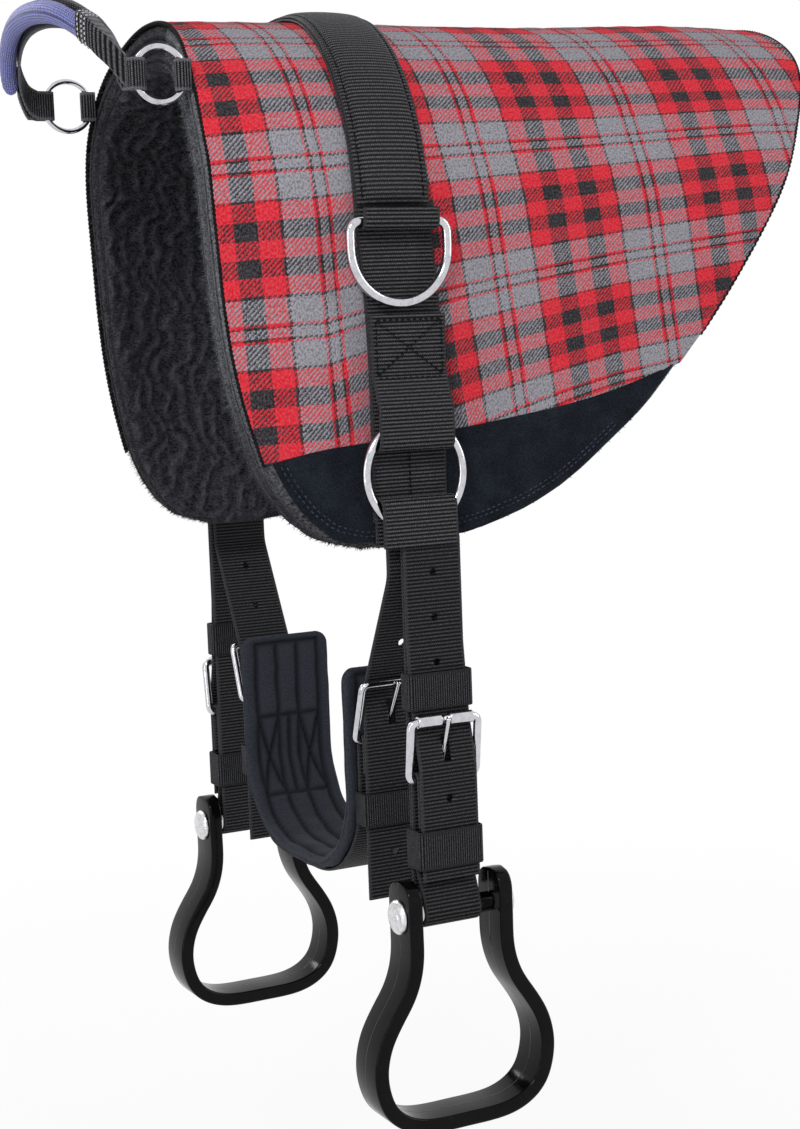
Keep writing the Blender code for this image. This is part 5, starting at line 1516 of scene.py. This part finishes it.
tail_x = GIRTH_BILLET_X - BILLET_STEP
billet_line = [
    (BILLET_X, LEATHER_TOP), (BILLET_X, BILLET_FALL_Z), (GIRTH_BILLET_X, BILLET_MEET_Z),
    (GIRTH_BILLET_X, BILLET_STEP_Z), (tail_x, BILLET_STEP_Z - 0.0120), (tail_x, BILLET_TAIL)]
near, far = GIRTH_X + GIRTH_PAD / 2 + GAP, GIRTH_BILLET_X + WEB / 2 + GAP + THIN_WEB / 2
edge = STRAP_WIDTH / 2 + 2 * GAP + THIN_WEB / 2
low, high = BILLET_Y - edge, BILLET_Y + edge
keeper_line = np.array([(near, low), (far, low), (far, high), (near, high)])
for label, side in SIDES:
    strap = webbing("billet_webbing_" + label, side, billet_line, BILLET_Y, STRAP_WIDTH, strap_webbing,
                    "billet_" + label, 120)
    tools = []
    for share in BILLET_HOLES:
        x = BILLET_X + (GIRTH_BILLET_X - BILLET_X) * share
        z = BILLET_FALL_Z + (BILLET_MEET_Z - BILLET_FALL_Z) * share
        tools.append(drill(side * x, BILLET_Y, z, BILLET_HOLE_DEPTH))
    tools.append(drill(side * tail_x, BILLET_Y, BILLET_TAIL + TAIL_HOLE, BILLET_HOLE_DEPTH))
    tools.append(slot_tool(side, GIRTH_BILLET_X - WEB, GIRTH_BILLET_X + 2 * WEB, BILLET_Y,
                           GIRTH_HEEL[1] + 0.0090, GIRTH_HEEL[1] + 0.0245))
    cut(strap, tools)
    bars = (GIRTH_WIRE, GIRTH_HEEL, GIRTH_FRONT)
    buckle("girth_frame_" + label, side, BILLET_Y, GIRTH_BUCKLE_HALF, *bars, "girth_buckle_" + label)
    prong("girth_tongue_" + label, side, BILLET_Y, GIRTH_PRONG, *bars, "girth_prong_" + label)
    keeper("girth_loop_" + label, side, keeper_line, GIRTH_KEEPER_Z, GIRTH_KEEPER_HEIGHT,
           "girth_keeper_" + label, closed=False)

under = leftward(girth_points, GIRTH_X - GIRTH_WEB_X)
under = under[under[:, 1] < GIRTH_HEEL[1] - 0.0140]
end = np.array([(GIRTH_WEB_X, GIRTH_HEEL[1] - 0.0120), *arc(*GIRTH_HEEL, GIRTH_FOLD, 180, 0, 10),
                (GIRTH_HEEL[0] + GIRTH_FOLD, GIRTH_HEEL[1] - 0.0200)])
path = np.concatenate([end[::-1] * (-1, 1), under, end])
belt = webbing("girth_band", 1.0, path, BILLET_Y, STRAP_WIDTH, strap_webbing, "girth_webbing")
cut(belt, [slot_tool(side, GIRTH_WEB_X - WEB, GIRTH_BILLET_X - WEB / 2 - GAP / 2, BILLET_Y,
                     GIRTH_HEEL[1] - 0.0100, GIRTH_HEEL[1] + 0.0100) for _, side in SIDES])

# %% Quilted girth pad
GIRTH_CORNER, GIRTH_ROUND, GIRTH_RIM, GIRTH_ROWS, GIRTH_STEP = 0.0085, 0.0030, 0.0034, 46, 0.0013
SEAM_WIDE, SEAM_FROM_END, PUCKER, PUCKER_HEIGHT, PUCKER_REACH = 0.0021, 0.0045, 0.0042, 0.00030, 0.0040
SEAMS_ACROSS = [share * GIRTH_WIDTH for share in (-0.36, -0.12, 0.12, 0.36)]
girth_length = float(girth_along[-1])
leg = GIRTH_BOWL / 2 + GIRTH_TOP - GIRTH_LOW - GIRTH_BOWL
seam_ends = (SEAM_FROM_END, 0.5 * leg, 1.02 * leg)
seams = [((u, seam_ends[0]), (u, girth_length - seam_ends[0])) for u in SEAMS_ACROSS]
for flip in (False, True):
    top, upper, lower = (girth_length - v if flip else v for v in seam_ends)
    seams += [((SEAMS_ACROSS[0], v), (SEAMS_ACROSS[3], v)) for v in (top, upper, lower)]
    for a, b in (SEAMS_ACROSS[:2], SEAMS_ACROSS[2:]):
        seams += [((a, upper), (b, lower)), ((b, upper), (a, lower))]
    seams.append(((0.0, upper), (0.0, lower)))


def seam_distance(u, v):
    nearest = np.full(u.shape, 1.0)
    for (a, b), (c, d) in seams:
        du, dv = c - a, d - b
        share = np.clip(((u - a) * du + (v - b) * dv) / (du * du + dv * dv), 0.0, 1.0)
        nearest = np.minimum(nearest, np.hypot(u - a - share * du, v - b - share * dv))
    return nearest


across = (spread_shares(GIRTH_ROWS, GIRTH_WIDTH, GIRTH_ROUND) - 0.5) * GIRTH_WIDTH
down = spread_shares(int(girth_length / GIRTH_STEP), girth_length, GIRTH_ROUND) * girth_length
u, v = np.meshgrid(across, down)
to_end = np.minimum(v, girth_length - v)
from_end = np.clip(GIRTH_CORNER - to_end, 0.0, GIRTH_CORNER)
narrower = GIRTH_CORNER - np.sqrt(GIRTH_CORNER ** 2 - 0.999 * from_end ** 2)
u = u * (1.0 - narrower / (GIRTH_WIDTH / 2))
body = rounding(np.minimum(GIRTH_WIDTH / 2 - narrower - np.abs(u), to_end), GIRTH_RIM)
off_seam = seam_distance(u, v)
puff = 1.10 - 0.85 * np.exp(-(off_seam / SEAM_WIDE) ** 1.2)
puckers = PUCKER_HEIGHT * np.sin(TURN * v / PUCKER + 3.0 * np.sin(u / 0.004))
puckers = puckers * np.exp(-off_seam / PUCKER_REACH)
thick = GIRTH_PAD / 2 * body * puff + puckers * body + 0.00025 * uneven(u, v, 2.0) * body
thick = thick + 0.0010 * uneven(u, v, 5.0) * body
table = np.concatenate([girth_points, left_of(girth_points)], 1)
x, z, out_x, out_z = (np.interp(v, girth_along, column) for column in table.T)
surfaces = [xyz(x + face * thick * out_x, GIRTH_Y + u, z + face * thick * out_z) for face in (-1, 1)]
# The third number of cloth is painted shade for the quilt's colour: low in the seams' grooves, high on the
# cushions.
cloth = xyz(u, v, 0.12 + 0.88 * np.clip(off_seam / 0.0030, 0.0, 1.0) ** 0.7)
girth = stands_for(slab("girth_quilt", *surfaces, quilt, cloth, cloth), "girth_pad")
print("girth:", round(girth_length, 3), "m round")

# %% [markdown]
# ## Hand grip
# A webbing strap runs from ring to ring. Its middle is wrapped in braided cord, and at the near end
# a sleeve of webbing covers the join. Short tabs sewn to the pad's front edge hold the rings.

# %% Grip, rings and tabs
GRIP_RING_X, GRIP_RING_Y, GRIP_RING_Z, GRIP_RING_RADIUS, GRIP_RING_WIRE = (
    0.0820, -0.1112, -0.0145, 0.0155, 0.0017)
GRIP_WEB, GRIP_WEB_WIDTH, GRIP_RIB, GRIP_FOLD, GRIP_FOLD_OFFSET = 0.0016, 0.0180, 0.0016, 0.0031, 0.0126
GRIP_REACH, GRIP_RISE = 0.0436, 0.0425
GRIP_SHARES = (
    (1.0, 0.454), (0.970, 0.626), (0.875, 0.771), (0.710, 0.878), (0.507, 0.947), (0.2535, 0.989), (0.0, 1.0))
GRIP_NEAR = (
    (1.0, 0.400), (0.970, 0.500), (0.875, 0.600), (0.710, 0.745), (0.507, 0.862), (0.2535, 0.955), (0.0, 1.0))
GRIP_CURVE = through((
    (-1.0, 0.0), (-0.970, 0.106), (-0.875, 0.341), (-0.710, 0.6), (-0.507, 0.824), (-0.2535, 0.958),
    (0.0, 1.0), (0.2535, 0.985), (0.507, 0.890), (0.710, 0.710), (0.875, 0.470), (0.970, 0.180), (1.0, 0.0),
))


def grip_rise(x):
    return GRIP_RING_Z + GRIP_RISE * np.interp(x / (GRIP_RING_X - GRIP_FOLD), *GRIP_CURVE)


def grip_band(name, path, z_of, node):
    at, length = level_path(path, z_of)
    strip = band(name, at, length, GRIP_WEB_WIDTH, GRIP_WEB, grip_webbing, rib=GRIP_RIB)
    stands_for(strip, node)


turn = math.acos((GRIP_RING_Z - GRIP_WEB_WIDTH / 2 + RIDGE_DIP - PAD + FRONT_RADIUS) / FRONT_RADIUS)
seat = float(front_edge(FRONT_RADIUS * turn)) - GAP
fold = arc(GRIP_RING_X, GRIP_RING_Y + GRIP_FOLD_OFFSET, GRIP_FOLD, 180, 360, 10)
tab = np.array([(GRIP_RING_X - GRIP_FOLD, seat), *fold, (GRIP_RING_X + GRIP_FOLD, seat)])
for label, side in SIDES:
    points = hoop(side * GRIP_RING_X, GRIP_RING_Y, GRIP_RING_Z, GRIP_RING_RADIUS, 48)
    wire("grip_wire_" + label, points, GRIP_RING_WIRE, "handle_ring_" + label, closed=True, step=0.0008)
    grip_band("grip_tab_" + label, tab * (side, 1.0), lambda x: GRIP_RING_Z, "handle_tab_" + label)

halves, side_lines = [], []
fold = arc(GRIP_RING_X, GRIP_RING_Y - GRIP_FOLD_OFFSET, GRIP_FOLD, 0, 180, 8)
for shares in (GRIP_NEAR, GRIP_SHARES):
    half_strap = catmull([
        ((GRIP_RING_X - GRIP_FOLD) * out, GRIP_RING_Y - GRIP_REACH * away) for out, away in shares], 8)
    doubled = leftward(half_strap, GRIP_WEB + GAP)[4:17]
    halves.append(half_strap)
    side_lines.append(np.concatenate([
        doubled[::-1], [(GRIP_RING_X + GRIP_FOLD, half_strap[0][1])], fold, half_strap]))
grip_band("grip_strap", np.concatenate([side_lines[0], side_lines[1][-2::-1] * (-1, 1)]), grip_rise,
          "handle_webbing")

# %% Braided grip
BRAID_THICK, BRAID_TALL, BRAID_AROUND, LUMP, LUMP_PITCH, LUMPS_ROUND = 0.0052, 0.0066, 28, 0.00022, 0.0064, 9


def along_grip(line, depth, rise):
    """Rings along a level line from how far each point is to its left and how far above it."""
    flat = line[:, None] + left_of(line)[:, None] * depth[..., None]
    return xyz(flat[..., 0], flat[..., 1], grip_rise(line[:, :1]) + rise)


near, far = halves
held = np.concatenate([near[16:], far[-2:15:-1] * (-1, 1)])
held, held_along = spaced(leftward(held, GRIP_WEB / 2 + GAP + BRAID_THICK), 0.0009)
held = eased(held, 6)
grip_length = float(held_along[-1])
held_along = held_along[:, None]
turns = circle(BRAID_AROUND)
swell = 0.90 + 0.10 * rounding(np.minimum(held_along, grip_length - held_along), 0.0060)
run = TURN * held_along / LUMP_PITCH
lump = LUMP * np.sin(turns * LUMPS_ROUND + run) * np.sin(turns * LUMPS_ROUND - run)
thick, tall = (BRAID_THICK + lump) * swell, (BRAID_TALL + lump) * swell
rings = along_grip(held, thick * np.cos(turns), tall * np.sin(turns))
cloth = xyz(turns * (BRAID_THICK + BRAID_TALL) / 2, held_along, 1.0)
stands_for(sweep("grip_braid", rings, braid, cloth), "handle_grip")

# %% Sleeve over the near end of the braid, with three rows of stitches
SLEEVE_AROUND, SLEEVE_RIB, SLEEVE_WIDENS, SLEEVE_STEP, SLEEVE_CLOSING = 32, 0.0018, 0.58, 0.0004, 0.0030
# Each of the sleeve's sizes at its start, and the change from there to its wide end.
SLEEVE_DEEP, SLEEVE_TALL, SLEEVE_OFFSET = (0.0027, 0.0037), (0.0098, -0.0008), (0.0010, 0.0051)
GRIP_SEAMS = (8, 14, 20)  # rows back from the wide end
GRIP_SIZES = (0.0016, 0.0010, 0.00042, 0.8)  # length, gap, radius and lift of a stitch

line, along = spaced(eased(near[2:24], 3), SLEEVE_STEP)
along = along[:, None]
widen = np.clip(along / along[-1] / SLEEVE_WIDENS, 0.0, 1.0)
widen = widen * widen * (3.0 - 2.0 * widen)
deep, tall, offset = (
    start + change * widen for start, change in (SLEEVE_DEEP, SLEEVE_TALL, SLEEVE_OFFSET))
crest = ribbed(along, SLEEVE_RIB)
closing = rounding(along[-1] - along, SLEEVE_CLOSING)
deep = deep * (1.0 - 0.10 * (1.0 - crest)) * (0.75 + 0.25 * closing)
tall = tall * (0.80 + 0.20 * closing)
turns = circle(SLEEVE_AROUND)
square_x, square_z = (np.sign(way) * np.abs(way) ** 0.5 for way in (np.cos(turns), np.sin(turns)))
rings = along_grip(line, offset + deep * square_x, tall * square_z)
cloth = xyz(tall * square_z * 0.9, along, crest)
goes_with(sweep("grip_sleeve", rings, grip_webbing, cloth), "handle_webbing")
lines = []
for back in GRIP_SEAMS:
    ring = np.append(rings[-1 - back], rings[-1 - back, :1], 0)
    lines.append((ring, ring - ring[:-1].mean(0)))
seam = stitches("grip_stitches", lines, pale_thread, *GRIP_SIZES)
goes_with(seam, "handle_webbing")
print("grip:", round(grip_length, 3), "m of braid")

# %% [markdown]
# ## Floor
# The floor is pale. Most of it is drawn flat white for the eye and for reflections, and the rest
# takes a soft shadow.

# %% Floor
FLOOR_DROP, FLOOR_SIZE = 0.16, 12.0
FLOOR_DARK, FLOOR_PALE = (0.86, 0.86, 0.86, 1.0), (0.9, 0.9, 0.9, 1.0)
SHADOW_REACH, WHITE_REACH, WHITE_SHARE, CLOUD = 0.35, 1.3, 0.90, 0.3

floor_material, tree, inputs = new_finish("pale floor", 0.9, specular=0.1)
feed(inputs["Base Color"], mixed(noise(object_place(tree), 1.0 / CLOUD), FLOOR_DARK, FLOOR_PALE))
glow = tree.nodes.new("ShaderNodeEmission")
feed(glow.inputs["Color"], WHITE)
from_middle = on_vector("LENGTH", object_place(tree), out="Value")
both = tree.nodes.new("ShaderNodeMixShader")
feed(both.inputs[0], seen_rays(tree) * spread(from_middle, SHADOW_REACH, WHITE_REACH, WHITE_SHARE, 1.0))
tree.links.new(tree.nodes["Principled BSDF"].outputs[0], both.inputs[1])
tree.links.new(glow.outputs[0], both.inputs[2])
tree.links.new(both.outputs[0], tree.nodes["Material Output"].inputs["Surface"])
bpy.ops.mesh.primitive_plane_add(size=FLOOR_SIZE, location=(0.0, 0.0, cad_low.z - FLOOR_DROP))
floor = bpy.context.object
floor.name = "floor"
floor.data.materials.append(floor_material)
